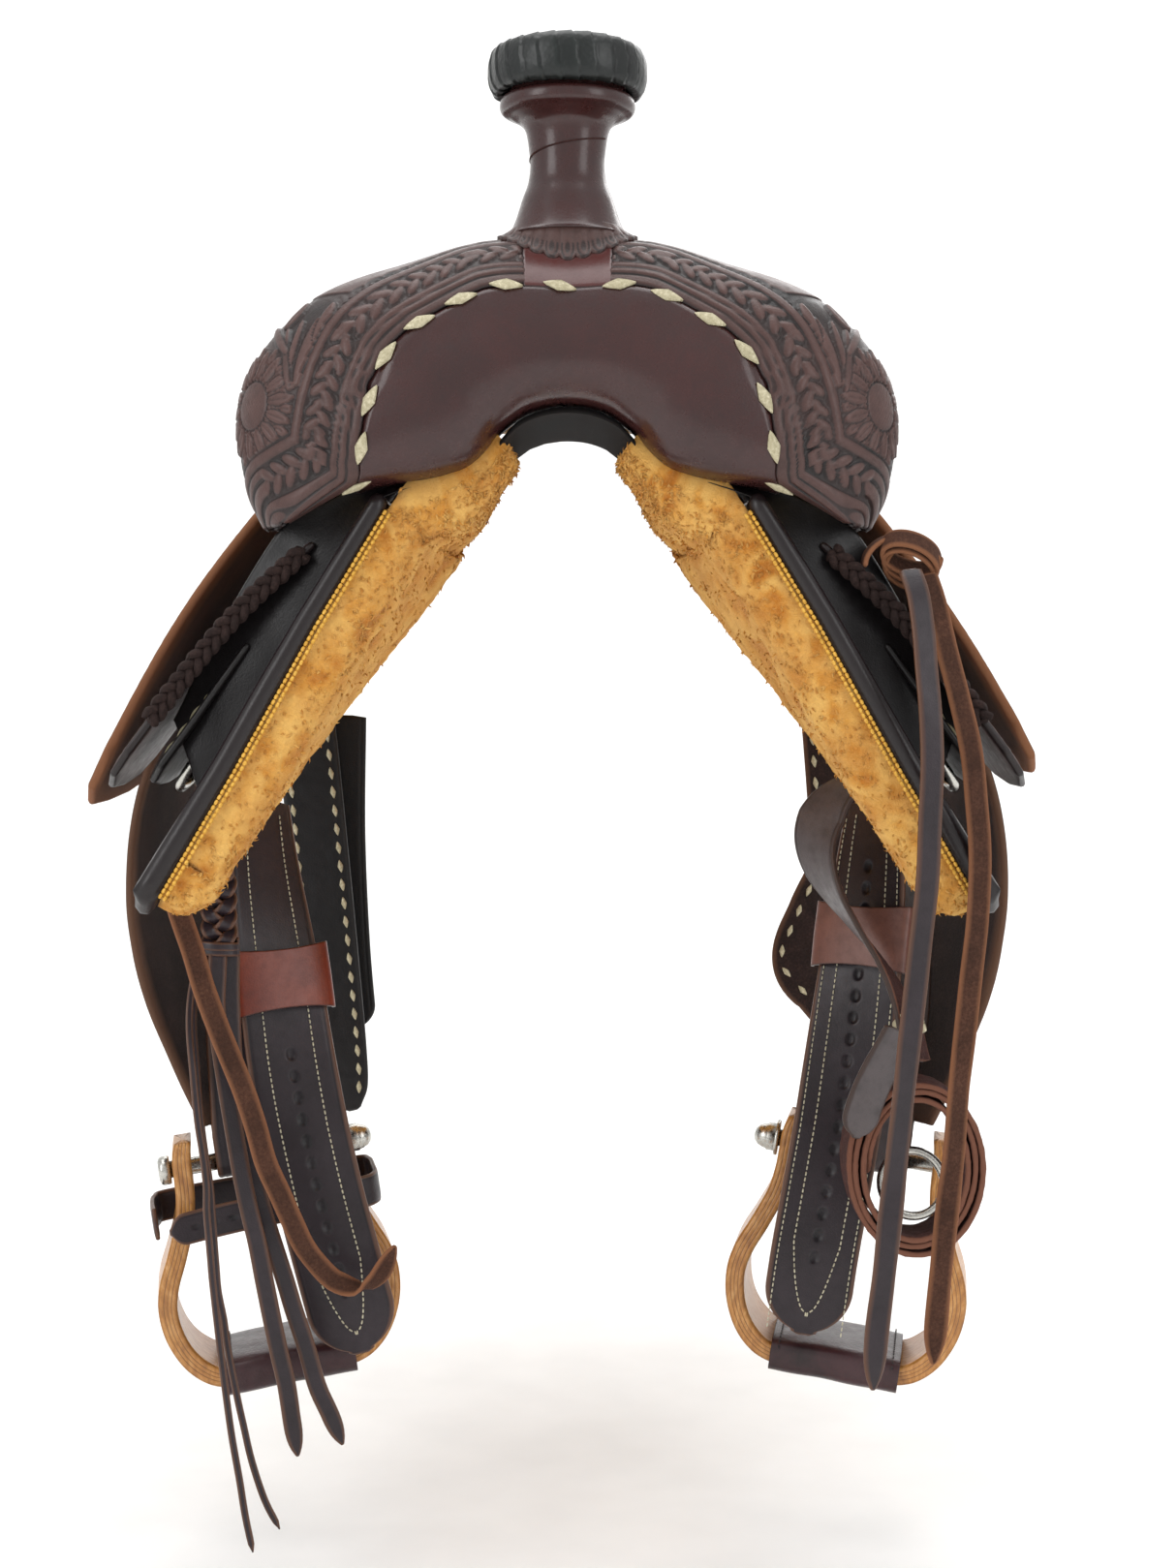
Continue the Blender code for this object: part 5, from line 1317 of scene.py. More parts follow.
def make_rigging():
    """Black rigging plates edged with rawhide lozenges, and the stainless dees behind them."""
    for label, side in SIDES.items():
        outer, inner, _, rim, normal = ruled(side, [(166, -122), (190, -155), (218, -193)],
                                                [6, 16, 40, 66, 80, 88], [.86, .97, 1, 1, .97, .86], 4, 110, 110)
        high = -0.7 * bump(rim, 3.4, 0.6) + 0.3 * noise(outer, 30)
        shape = closed_sheet(outer + normal * high[..., None], inner, np.clip(high, -1, 0.3), rounding=3)
        piece("rigging_leather_" + label, shape, MATERIALS["black"], "saddle_body",
              ["rigging_plate_" + label])
        line = smooth_line([outer[9, 2], outer[9, 55], outer[11, 104]], 120)
        length = lengths_along(line)
        places = np.arange(8, length[-1] - 4, 11.5)
        at = np.column_stack([np.interp(places, length, line[:, k]) for k in range(3)])
        run = np.broadcast_to(unit(line[-1] - line[0]), at.shape)
        out = unit(np.broadcast_to(normal[10, 50], at.shape) * 0.8 + np.array([0, -0.6, 0]))
        piece("rigging_buckstitch_" + label, lozenges(at + out * 0.6, run, out, 9.5, 4.2, 1.2),
              MATERIALS["rawhide"], "saddle_body")
        dee(label, side)


def dee(label, side):
    """Rigging dee: a half ring with a straight side, bent from round bar, flared at its corners."""
    down = np.array([0.59, 0.0, -0.81])
    turn = np.linspace(0, math.pi, 60)
    bow = np.column_stack([24 * np.cos(turn), 20 * np.sin(turn) + 2])
    base = np.column_stack([np.linspace(-24, 24, 26)[1:-1], -9.5 + 1.5 * np.linspace(-1, 1, 26)[1:-1] ** 4])
    corner = [(-24.6, -5)], [(24.6, -5)]
    outline = np.vstack([bow, corner[0], base, corner[1]])
    path = np.column_stack([side * (195 + outline[:, 1] * down[0]), 50 + outline[:, 0],
                            -179 + outline[:, 1] * down[2]])
    path = np.vstack([path, path[:1]])
    path = smooth_line(path, 120)[:-1]
    piece("rigging_dee_" + label, tube(path, 2.6, 12, True), MATERIALS["steel"], "saddle_body",
          ["front_dee_" + label])


def rope_edge(rim, along, low, high, pitch):
    """Rope stamp: slanted rounded ridges between two cut lines, by a sine of length plus distance."""
    band = window(rim, low, high, 0.3)
    ridge = np.abs(np.sin(math.pi * (along + (rim - low) * 0.9) / pitch))
    cuts = 0.7 * bump(rim, low - 0.5, 0.5) + 0.7 * bump(rim, high + 0.5, 0.5)
    return band * (ridge ** 0.6 * 1.3 - 0.6) - cuts


def basket(a, b, pitch):
    """Basket stamp: a chequer of three-rib weaves, turned a quarter from one square to the next."""
    turned_cell = (np.floor(a / pitch) + np.floor(b / (pitch * 0.55))) % 2
    u, v = (a / pitch) % 1, (b / (pitch * 0.55)) % 1
    pillow = np.sin(u * math.pi) ** 0.5 * np.sin(v * math.pi) ** 0.35
    rib = np.where(turned_cell > 0.5, np.cos(v * math.pi * 6), np.cos(v * math.pi * 4))
    return pillow * (0.75 + 0.18 * rib) - 0.45


def make_jockeys():
    """Tooled front jockeys with rope edges, roughout seat jockeys and basket-stamped rear jockeys."""
    for label, side in SIDES.items():
        outer, inner, down, rim, normal = ruled(
            side, [(132, -70), (170, -105), (206, -148), (241, -194)], [2, 10, 30, 60, 82, 92],
            [.86, .95, 1, 1, .97, .90], 4, 120, 170)
        along = np.where(outer[..., 1] - 2 < rim + 0.2, down, outer[..., 1] * 1.0 + down * 0)
        high = rope_edge(rim, along, 2.4, 9.0, 6.4) + np.where(rim > 10.5, basket(down, outer[..., 1], 9.5), 0)
        shape = closed_sheet(outer + normal * high[..., None] * 0.9, inner, np.clip(high * 1.3 - 0.1, -1, 0.6),
                             rounding=3)
        piece("front_jockey_leather_" + label, shape, MATERIALS["tooled"], "saddle_body",
              ["front_jockey_" + label])
        front_edge = smooth_line(outer[0, 6:-6:20] * 0.5 + inner[0, 6:-6:20] * 0.5, 260) - (0, 2.4, 0)
        edge_plait("front_jockey_plait_" + label, front_edge, (0, -1.0, 0), "roughout_dark",
                   4.4)
        seat_jockey(label, side)
        rear_jockey(label, side)
        under_fork(label, side)


def edge_plait(name, line, normal, material, size=3.4, pitch=11.0):
    """Flat plaited edge: three strands that swing across the line by a sine and over it by its double."""
    length = lengths_along(line)
    run = unit(np.gradient(line, axis=0))
    normal = unit(np.broadcast_to(normal, line.shape))
    across = np.cross(run, normal)
    strands = []
    for k in range(3):
        turn = length / pitch * math.pi + 2 * math.pi * k / 3
        strand = (line + across * (size * 0.8 * np.sin(turn))[:, None]
                  + normal * (size * 0.42 * np.sin(2 * turn))[:, None])
        strands.append(tube(strand, size * 0.52, 7))
    piece(name, join(strands), MATERIALS[material], "saddle_body")


def under_fork(label, side):
    """Dark leather web under the foot of the fork: a ruled sheet from the skirt's face to the fork."""
    share = np.linspace(0, 1, 60)
    low = on_panel(side, 2.35 + 2.9 * share, np.full(60, -9.0), np.full(60, 6.0))
    high = smooth_line([(side * 66, -3, -30), (side * 96, 0, -37), (side * 126, 4, -49),
                        (side * 148, 10, -62), (side * 180, 14, -112), (side * 205, 16, -160)], 60)
    t = np.linspace(0, 1, 40)[None, :, None]
    grid = low[:, None] * (1 - t) + high[:, None] * t
    grid[..., 1] += 3.0 * np.sin(t[..., 0] * math.pi) + noise(grid, 22)
    piece("fork_foot_web_" + label, closed_sheet(grid, grid + np.array([0, 3.0, 0])), MATERIALS["black"],
          "saddle_body")


def seat_jockey(label, side):
    """Flared roughout flap with a rolled, rubbed lower edge and soft waves."""
    tip, drop = (272, -208) if side < 0 else (266, -190)
    outer, inner, _, rim, normal = ruled(
        side, [(110, 18), (158, -32), (215, -106), (tip, drop)], [93, 101, 125, 165, 220, 275, 315, 335],
        [.88, .96, 1, 1, .99, .96, .86, .72], 5, 120, 150)
    wave = 1.2 * noise(outer, 55) * np.clip(rim / 25, 0, 1)
    high = wave - 0.5 * bump(rim, 5.0, 0.7) + 0.10 * noise(outer, 2.2)
    shape = closed_sheet(outer + normal * high[..., None], inner + normal * wave[..., None],
                         np.clip(-bump(rim, 5.0, 0.9), -1, 0), rounding=4)
    piece("seat_jockey_flap_" + label, shape, MATERIALS["roughout"], "saddle_body",
          ["seat_jockey_" + label])


def apron(name, top, low, sag, thickness=3.6):
    """Basket-stamped housing leather: a ruled sheet between two lines that sags by a sine, rope-edged."""
    t = np.linspace(0, 1, 60)[None, :, None]
    grid = top[:, None] * (1 - t) + low[:, None] * t
    normals = grid_normals(grid)
    normals *= np.sign(np.mean(normals[..., 2]))
    grid = grid - normals * (sag * np.sin(t * math.pi))
    along = lengths_along(low)[:, None] + 0 * t[..., 0]
    down = t[..., 0] * np.linalg.norm(low - top, axis=1)[:, None]
    rim = np.minimum(np.minimum(along, along[-1:] - along), down[:, -1:] - down)
    high = rope_edge(rim, along, 2.4, 9.0, 6.4) + np.where(rim > 10.5, basket(down, along, 9.5), 0)
    shape = closed_sheet(grid + normals * (thickness + 0.9 * high[..., None]), grid,
                         np.clip(high * 1.3 - 0.1, -1, 0.6), rounding=3)
    piece(name, shape, MATERIALS["tooled"], "saddle_body")


def make_housings():
    """Housing leathers that hide the tree: from the seat's edge down over the bar, and behind the cantle."""
    for label, side in SIDES.items():
        y = np.linspace(236, 505, 150)
        rear = np.clip((y - 440) / 65, 0, 1)
        top = seat_surface(np.full(150, 0.93), np.minimum(y, 462))
        top = top * (side, 1, 1) - (0, 0, 6.0)
        top[:, 1] = y
        low = on_panel(side, np.full(150, 4.8), y, np.full(150, 17.0) + 6.0 * rear)
        apron("housing_" + label, top, low, 6.0)
        share = np.linspace(0, 1, 130)
        top = np.column_stack([side * (8 + 142 * share), np.full(130, 505.0), 50 - 8 * share])
        low = on_panel(side, np.interp(share, [0, 0.55, 1], [0.4, 3.4, 4.7]),
                       np.interp(share, [0, 0.5, 0.62, 1], [612, 606, 596, 500]),
                       np.interp(share, [0, 0.5, 1], [24.5, 30.0, 29.0]))
        apron("cantle_housing_" + label, top, low, -2.0)


def rear_jockey(label, side):
    """Basket-stamped flap behind the cantle, rope-edged."""
    y = np.linspace(506, 612, 100)[:, None]
    low = 5.05 - 0.25 * np.clip((np.abs(y - 559) - 42) / 10, 0, 1)
    share = np.linspace(0, 1, 140)[None, :]
    place = 3.0 + (low - 3.0) * share
    lift = np.interp(place, [3, 4.5, 5.2], [23, 23, 8])
    outer = on_panel(side, place, y, lift + 4)
    inner = on_panel(side, place, y, lift)
    down = share * (low - 3.0) * 74
    rim = np.minimum(np.minimum(y - 506, 612 - y), (low - 3.0) * 74 - down)
    along = np.where(np.minimum(y - 506, 612 - y) <= rim + 0.1, down, y)
    high = rope_edge(rim, along, 2.4, 9.0, 6.4) + np.where(rim > 10.5, basket(down, y + 0 * down, 9.5), 0)
    normals = unit(outer - inner)
    shape = closed_sheet(outer + normals * high[..., None] * 0.9, inner, np.clip(high * 1.3 - 0.1, -1, 0.6),
                         rounding=3)
    piece("rear_jockey_leather_" + label, shape, MATERIALS["tooled"], "saddle_body",
          ["rear_jockey_" + label])


# ---------------------------------------------------------------- seat, cantle and tree

SEAT_Y = np.array([100, 130, 160, 205, 250, 295, 335, 370, 400, 425, 445, 462], float)
SEAT_TABLE = np.array([(74, 36, 100), (67, 33, 106), (61, 31, 112), (54, 30, 119), (49, 33, 130), (48, 38, 144),
                       (51, 44, 154), (58, 52, 162), (70, 62, 168), (87, 74, 171), (108, 86, 170),
                       (130, 97, 164)], float)


def seat_surface(share, y):
    """Seat: height falls from the centre line to the edge with the 2.2 power of the share across."""
    row = np.interp(y, SEAT_Y, np.arange(len(SEAT_Y)))
    table = smooth_values(SEAT_TABLE, row)
    z = table[..., 0] - (table[..., 0] - table[..., 1]) * np.abs(share) ** 2.2
    return np.stack([share * table[..., 2], np.broadcast_to(y, z.shape), z], -1)


def make_seat():
    """Padded seat with sewn channels and a creased border, laced cantle roll and tooled cantle back."""
    share, y = np.meshgrid(np.linspace(-1, 1, 220), np.linspace(100, 462, 160))
    grid = seat_surface(share, y)
    normals = grid_normals(grid)
    normals *= np.sign(normals[..., 2:3].sum())
    half = np.interp(y, SEAT_Y, SEAT_TABLE[:, 2])
    rim = np.minimum(np.minimum(y - 100, 462 - y), (1 - np.abs(share)) * half)
    pad_rim = rim - 26
    lines = ((grid[..., 0] + 0.55 * (y - 280)) / 34) % 1 - 0.5
    cross = ((grid[..., 0] - 0.55 * (y - 280)) / 34) % 1 - 0.5
    channel = np.minimum(np.abs(lines), np.abs(cross)) * 34
    padded = np.clip(pad_rim / 8, 0, 1)
    high = 2.4 * padded * (1 - np.exp(-(channel / 6.0) ** 2)) - 1.1 * bump(pad_rim, 0, 1.2)
    high = high - 0.8 * bump(rim, 5, 0.8) + 0.3 * noise(grid, 50)
    # The relief darkens the border crease, and as painted shade the sewn channels and the step along the foot of
    # the padding.
    relief = np.clip(-bump(rim, 5, 0.9) - padded * bump(channel, 0, 1.1) - bump(pad_rim, 0, 1.3), -1, 0.3)
    shape = closed_sheet(grid + normals * (high - 1.4)[..., None], grid - normals * 6, relief, rounding=3)
    piece("seat_leather", shape, MATERIALS["smooth"], "saddle_body", ["seat"])
    rows = []
    for s in (-1, 1):
        yy = np.linspace(128, 448, 160)
        half = np.interp(yy, SEAT_Y, SEAT_TABLE[:, 2])
        rows.append(stitch_row(seat_surface(s * (1 - 26 / half), yy) + (0, 0, -0.9), np.array([(0, 0, 1.0)]),
                               3.6, 0.9))
    piece("seat_stitches", join(rows), MATERIALS["thread"], "saddle_body")
    make_cantle()


def make_cantle():
    """Cantle back with a border crease, and its roll under a spiral of flat lace."""
    share, up = np.meshgrid(np.linspace(-1, 1, 240), np.linspace(0, 1, 90))
    x = share * 158
    top = 131 - 34 * np.abs(x / 164) ** 2.2 - 13
    low = 48 - 8 * np.abs(share)
    y = 496 - 13 * np.clip(up * 2, 0, 1) - 7 * np.clip(up * 2 - 1, 0, 1)
    grid = np.stack([x, y + 5, top * up + low * (1 - up)], -1)
    inner = grid - (0, 5, 0)
    rim = np.minimum(np.minimum(up, 1 - up) * (top - low), (1 - np.abs(share)) * 158)
    high = rope_edge(rim, x, 4.0, 10.5, 7.0) + np.where(rim > 12, basket(x, grid[..., 2], 9.5), 0)
    outer = grid + np.array([0, 0.95, 0.3]) * high[..., None] * 0.9
    piece("cantle_back_leather", closed_sheet(outer, inner, np.clip(high * 1.3 - 0.1, -1, 0.6)),
          MATERIALS["tooled"], "saddle_body", ["cantle_back"])
    x = np.linspace(-172, 172, 420)
    path = np.column_stack([x, np.full(420, 475.5), 140 - 35 * np.abs(x / 172) ** 2.2])
    run = unit(np.gradient(path, axis=0))
    first = unit(np.cross(run, (0, 1.0, 0)))
    second = np.cross(run, first)
    turns = np.arange(30) * 2 * math.pi / 30
    length = lengths_along(path)
    lap = (length[:, None] / 9.0 + turns[None, :] / (2 * math.pi)) % 1
    radius = 8.6 + 0.7 * np.sin(lap * math.pi) ** 0.5 - 0.5 * bump(lap, 0.0, 0.06) - 0.5 * bump(lap, 1.0, 0.06)
    end = np.minimum(length, length[-1] - length)
    radius = radius * np.sqrt(np.clip(1 - (1 - np.clip(end / 9, 0, 1)) ** 2, 0.02, 1))[:, None]
    loops = path[:, None] + radius[..., None] * (np.cos(turns)[:, None] * first[:, None]
                                                 + np.sin(turns)[:, None] * second[:, None])
    # Painted shade: the relief darkens the joins between the lace turns.
    relief = np.clip(-bump(lap, 0.0, 0.08) - bump(lap, 1.0, 0.08) + 0.2, -1, 1)
    piece("cantle_roll", swept(loops, relief), MATERIALS["black"], "saddle_body",
          ["cantle_binding"])
    make_housings()
    for name in ("tree_fork", "tree_bar_left", "tree_bar_right", "tree_cantle"):
        paint(name, "tree_wood")
    paint("horn_post", "steel")


def paint(name, key):
    """A CAD node keeps its shape and takes a finish."""
    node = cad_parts[name]
    node.data.materials.clear()
    node.data.materials.append(MATERIALS[key])

# ---------------------------------------------------------------- fenders, leathers and stirrups

FENDER_STATIONS = [(187, 190, -95, 44, 0), (213, 190, -137, 64, 0), (229, 190, -165, 78, 0),
                   (240, 190, -192, 87, 0), (244, 190, -225, 90, 2), (241, 189, -262, 86, 6),
                   (235, 187, -294, 76, 10), (227, 185, -325, 62, 15), (218, 183, -356, 46, 21),
                   (211, 182, -382, 34, 26), (205, 182, -402, 26, 30)]
LEATHER_WIDTH, LEATHER_THICKNESS = 51, 4
TAIL_LEFT = [(-182, 165, -211), (-178, 155, -250), (-169, 144, -305), (-159, 133, -366),
             (-146, 127, -426), (-133, 123, -475), (-119, 121, -526)]
TAIL_RIGHT = [(183, 165, -211), (179, 157, -239), (171, 144, -305), (160, 132, -377),
              (149, 126, -437), (142, 123, -475), (136, 121, -516)]
BOLTS = {"left": (-184.5, 170, -422), "right": (178.5, 170, -422)}
STIRRUP_ROLL, STIRRUP_YAW = 8, 10
STIRRUP_OUTER = [(48, 17), (50.5, 8), (51, -3), (51.5, -14), (54, -28), (61, -46), (68, -62),
                 (71, -77), (69, -94), (62, -110), (52, -121), (40, -127), (20, -129.5), (0, -130)]
STIRRUP_INNER = [(38, 17), (39.5, 8), (40, -3), (40.5, -15), (43.5, -31), (50.5, -50), (57, -65),
                 (60, -78), (58.5, -91), (54, -102.5), (47, -111), (38, -116.5), (20, -119.5),
                 (0, -120)]
STIRRUP_HALF_DEPTH = [15, 17, 18, 19, 20, 22, 24, 25, 26, 27, 28, 28, 28, 28]
BOLT_RADIUS = 5


def make_fenders():
    """Fender panels: roughout outside with a creased grain edge, bowed across and turned at the foot."""
    fine = smooth_line(FENDER_STATIONS, 150)
    for label, side in SIDES.items():
        centre = fine[:, :3] * (side, 1, 1)
        turn = np.radians(fine[:, 4])
        ahead = np.column_stack([side * np.sin(turn), -np.cos(turn), np.zeros(len(turn))])
        run = unit(np.gradient(centre, axis=0))
        face = np.cross(run, ahead)
        face = unit(face * np.sign(face[:, :1] * side + 1e-9))
        share = np.linspace(-1, 1, 120)[None, :, None]
        half = fine[:, None, 3:4]
        grid = centre[:, None] + ahead[:, None] * share * half - face[:, None] * 3.0 * share ** 2
        rim = (1 - np.abs(share[..., 0])) * half[..., 0]
        rim = np.minimum(rim, lengths_along(fine[:, :3])[:, None] + 0 * rim)
        high = -0.6 * bump(rim, 5, 0.7) - 0.4 * bump(rim, 8, 0.5) + 0.5 * noise(grid, 40)
        lift = face[:, None] * 2.25
        shape = closed_sheet(grid + lift + face[:, None] * high[..., None], grid - lift,
                             np.clip(-bump(rim, 5, 1.0) - bump(rim, 8, 0.8), -1, 0), rounding=3)
        body = "fender_" + label + "_body"
        piece("fender_panel_" + label, shape, MATERIALS["roughout_dark"], body,
              ["fender_" + label])
        seam = []
        for s in (-1, 1):
            line = grid[8:-3, 0 if s < 0 else -1] + ahead[8:-3] * -s * 12 + face[8:-3] * 2.4
            seam.append(stitch_row(line, face[8:-3], 3.4, 1.0))
        piece("fender_stitches_" + label, join(seam), MATERIALS["thread"], body)


def stirrup_axes(side):
    """Stirrup directions: along the bolt, front to back, and up."""
    roll = math.radians(STIRRUP_ROLL)
    yaw = math.radians(STIRRUP_YAW) * -side
    turn = np.array([[math.cos(yaw), -math.sin(yaw), 0], [math.sin(yaw), math.cos(yaw), 0], [0, 0, 1]])
    return (turn @ (math.cos(roll), 0, -side * math.sin(roll)), turn @ (0, 1, 0),
            turn @ (side * math.sin(roll), 0, math.cos(roll)))


def punched(s, a, first, pitch, last, wide=4.6, long=6.6, depth=1.5):
    """Oval holes down a strap: steep-walled pits at an even pitch, whose relief gives their bottoms the leather's
    darkest colour as painted shade in place of the open hole.
    """
    k = np.round((s - first) / pitch)
    k = np.clip(k, 0, math.floor((last - first) / pitch))
    r = np.hypot((s - first - k * pitch) / (long / 2), a / (wide / 2))
    return -depth / (1 + np.exp(np.clip((r - 1) / 0.10, -30, 30)))


def tail_across(side, z):
    """Width direction of the tail: turned at the top, facing the front lower down."""
    turn = np.radians(57 * np.clip((z + 400) / 189, 0, 1))
    return np.column_stack([-side * np.cos(turn), np.sin(turn), np.zeros_like(turn)])


def make_leathers():
    """Stirrup leathers round their bolts, punched and stitched tails, and the sliding keepers."""
    for label, side in SIDES.items():
        bolt = np.array(BOLTS[label], float)
        axis, depth, up = stirrup_axes(side)
        body = "fender_" + label + "_body"
        route = [(side * 163, 190, -80), (side * 189, 190, -124), (side * 207, 189, -165),
                 (side * 209, 187, -200), (side * 205, 184, -245), (side * 198, 180, -290),
                 (side * 192, 175, -335), (bolt[0] + side * 3, 165, -380)]
        bend = BOLT_RADIUS + 1.2 + LEATHER_THICKNESS / 2
        turn = np.linspace(0, math.pi, 25)[:, None]
        loop = bolt - depth * bend * np.cos(turn) - up * bend * np.sin(turn)
        bottom = bolt + up * 16 - depth * bend
        path = np.vstack([smooth_line(route + [tuple(bottom)], 150)[:-1], bottom, loop,
                          bolt + up * 22 + depth * bend])
        path = path[np.concatenate([[True], np.linalg.norm(np.diff(path, axis=0), axis=1) > 0.3])]
        share = np.clip((-path[:, 2] - 215) / 150, 0, 1)[:, None]
        across = (np.array([0, -1.0, 0]) * np.cos(share * math.pi / 2)
                  + side * axis * np.sin(share * math.pi / 2))

        def crease(s, a):
            rim = LEATHER_WIDTH / 2 - np.abs(a)
            return -0.5 * bump(rim, 3.2, 0.6) - 0.25 * bump(rim, 6.4, 0.5)

        shape = strap(path, across, LEATHER_WIDTH, LEATHER_THICKNESS, face=crease, back=crease, cells=30)
        piece("leather_strap_" + label, shape, MATERIALS["grey" if side > 0 else "strap"], body,
              ["stirrup_leather_" + label])
        make_tail(label, side, body)


def make_tail(label, side, body):
    """Hanging end of the stirrup leather: round tip, oval holes, two stitch rows that meet at the tip."""
    line = smooth_line(TAIL_LEFT if side < 0 else TAIL_RIGHT, 380)
    total = lengths_along(line)[-1]
    first, last = (150.0, total - 34) if side < 0 else (40.0, total - 40)

    def holes(s, a):
        pit = punched(s, a, first, 12.7, last)
        rim = LEATHER_WIDTH / 2 - np.abs(a)
        return pit - 0.4 * bump(rim, 3.0, 0.6)

    across = tail_across(side, line[:, 2])
    shape = strap(line, across, LEATHER_WIDTH, LEATHER_THICKNESS, tip=26, face=holes, back=holes, cells=46)
    piece("leather_end_" + label, shape, MATERIALS["strap"], body,
          ["leather_tail_" + label])
    run = unit(np.gradient(line, axis=0))
    across = unit(across - run * (across * run).sum(1, keepdims=True))
    out = np.cross(run, across)
    out *= np.sign(-out[-1, 1])
    length = lengths_along(line)
    rows = []
    for s in (-1, 1):
        inset = 13.0 * np.sqrt(np.clip((total - 12 - length) / 40, 0, 1))
        offset = s * np.minimum(15.0, inset + 0.5)
        keep = slice(8, 369)
        rows.append(stitch_row((line + across * offset[:, None] + out * 2.1)[keep], out[keep], 3.3, 0.95))
        if side > 0:
            rows.append(stitch_row((line + across * s * 21.5 + out * 2.1)[10:420], out[10:420], 3.3, 0.8))
    piece("leather_end_stitches_" + label, join(rows), MATERIALS["thread"], body)
    make_keeper(label, side, line)


def make_keeper(label, side, line):
    """Keeper that slides on the tail: one wide leather wrap, bowed in front, with a lapped edge."""
    height = -314 if side < 0 else -290
    at = int(np.argmin(np.abs(line[:, 2] - height)))
    centre, run = line[at], unit(line[min(at + 20, len(line) - 1)] - line[at])
    across = tail_across(side, np.array([centre[2]]))[0]
    across = unit(across - run * (across @ run))
    through = np.cross(run, across)
    through *= np.sign(-through[1])
    turns = np.linspace(0, 2 * math.pi, 181)[:-1]
    power = 2 / 4.5
    hole = (LEATHER_WIDTH / 2 + 3.4, LEATHER_THICKNESS / 2 + 4.4)
    ca = np.sign(np.cos(turns)) * np.abs(np.cos(turns)) ** power
    sa = np.sign(np.sin(turns)) * np.abs(np.sin(turns)) ** power
    rows = []
    for rise in np.linspace(-18, 18, 40):
        bow = 1.6 * (1 - (ca ** 2)) * (sa > 0) + 0.25 * math.cos(rise / 6)
        dip = 2.6 * (ca ** 2 - 0.4) * (sa > 0)
        rows.append(centre + across * (ca * (hole[0] + 1.6))[:, None]
                    + through * (sa * (hole[1] + 1.6) + bow)[:, None] + run * (rise + dip * (rise / 18))[:, None])
    outer = np.array(rows)
    inner = []
    for rise in np.linspace(18, -18, 8):
        bow = 1.6 * (1 - (ca ** 2)) * (sa > 0)
        dip = 2.6 * (ca ** 2 - 0.4) * (sa > 0)
        inner.append(centre + across * (ca * hole[0])[:, None] + through * (sa * hole[1] + bow)[:, None]
                     + run * (rise + dip * (rise / 18))[:, None])
    loops = np.concatenate([outer, np.array(inner)])
    edge = np.zeros(loops.shape[:2])
    edge[[0, 39, 40, -1]] = 0.8
    piece("keeper_wrap_" + label, swept(loops, edge=edge, closed=True),
          MATERIALS["russet" if side < 0 else "tan_keeper"], "sleeve_" + label + "_body",
          ["leather_sleeve_" + label])


def make_stirrups():
    """Bent laminated stirrups with rounded arrises and visible plies, treads, bolts and hobble strap."""
    for label, side in SIDES.items():
        bolt = np.array(BOLTS[label], float)
        axis, depth, up = stirrup_axes(side)
        body = "stirrup_" + label + "_body"
        half = np.column_stack([STIRRUP_OUTER, STIRRUP_INNER, STIRRUP_HALF_DEPTH]).astype(float)
        mirror = half * (-1, 1, -1, 1, 1)
        whole = np.vstack([mirror, half[-2::-1]])
        steps = np.concatenate([[0], np.cumsum(np.linalg.norm(np.diff(whole[:, :2], axis=0), axis=1))])
        rows = np.interp(np.linspace(0, steps[-1], 150), steps, np.arange(len(whole)))
        fine = smooth_values(whole, rows)
        t = np.linspace(-1, 1, 34)
        r = 2.2
        wide = (fine[:, 4:5])
        thick = np.linalg.norm(fine[:, :2] - fine[:, 2:4], axis=1)[:, None]
        face_v = t[None, :] * (wide - r)
        turn = np.linspace(0, math.pi / 2, 6)[1:-1][None, :]
        front_w = np.linspace(0, 1, 30)[None, :]
        share_front = r / thick + front_w * (1 - 2 * r / thick)
        corner = 1 - np.cos(turn)
        loops_v = np.concatenate([face_v, wide - r * corner[:, ::-1] * 1.0, np.repeat(wide, 30, 1),
                                  wide - r * corner, -face_v, -wide + r * corner[:, ::-1],
                                  np.repeat(-wide, 30, 1), -wide + r * corner], axis=1)
        rise = (1 - np.sin(turn)) * r / thick
        loops_s = np.concatenate([np.zeros_like(face_v), rise[:, ::1] * 1.0, share_front, 1 - rise[:, ::-1],
                                  np.ones_like(face_v), 1 - rise, 1 - share_front, rise[:, ::-1]], axis=1)
        plane = fine[:, None, :2] * (1 - loops_s[..., None]) + fine[:, None, 2:4] * loops_s[..., None]
        plies = np.abs((loops_s * 5 + 0.5) % 1 - 0.5)
        on_side = np.abs(loops_v) > wide - r * 0.95
        line = bump(plies, 0.5, 0.07) * on_side * (loops_s > 0.08) * (loops_s < 0.92)
        loops_v = loops_v - np.sign(loops_v) * 0.35 * line
        points = bolt + axis * plane[..., :1] + up * plane[..., 1:] + depth * loops_v[..., None]
        shape = swept(points, -line)
        piece("stirrup_wood_" + label, shape, MATERIALS["wood"], body, ["stirrup_frame_" + label])
        make_tread(label, bolt, axis, depth, up, body)
        make_bolt(label, side, bolt, axis, body)
    make_hobble()


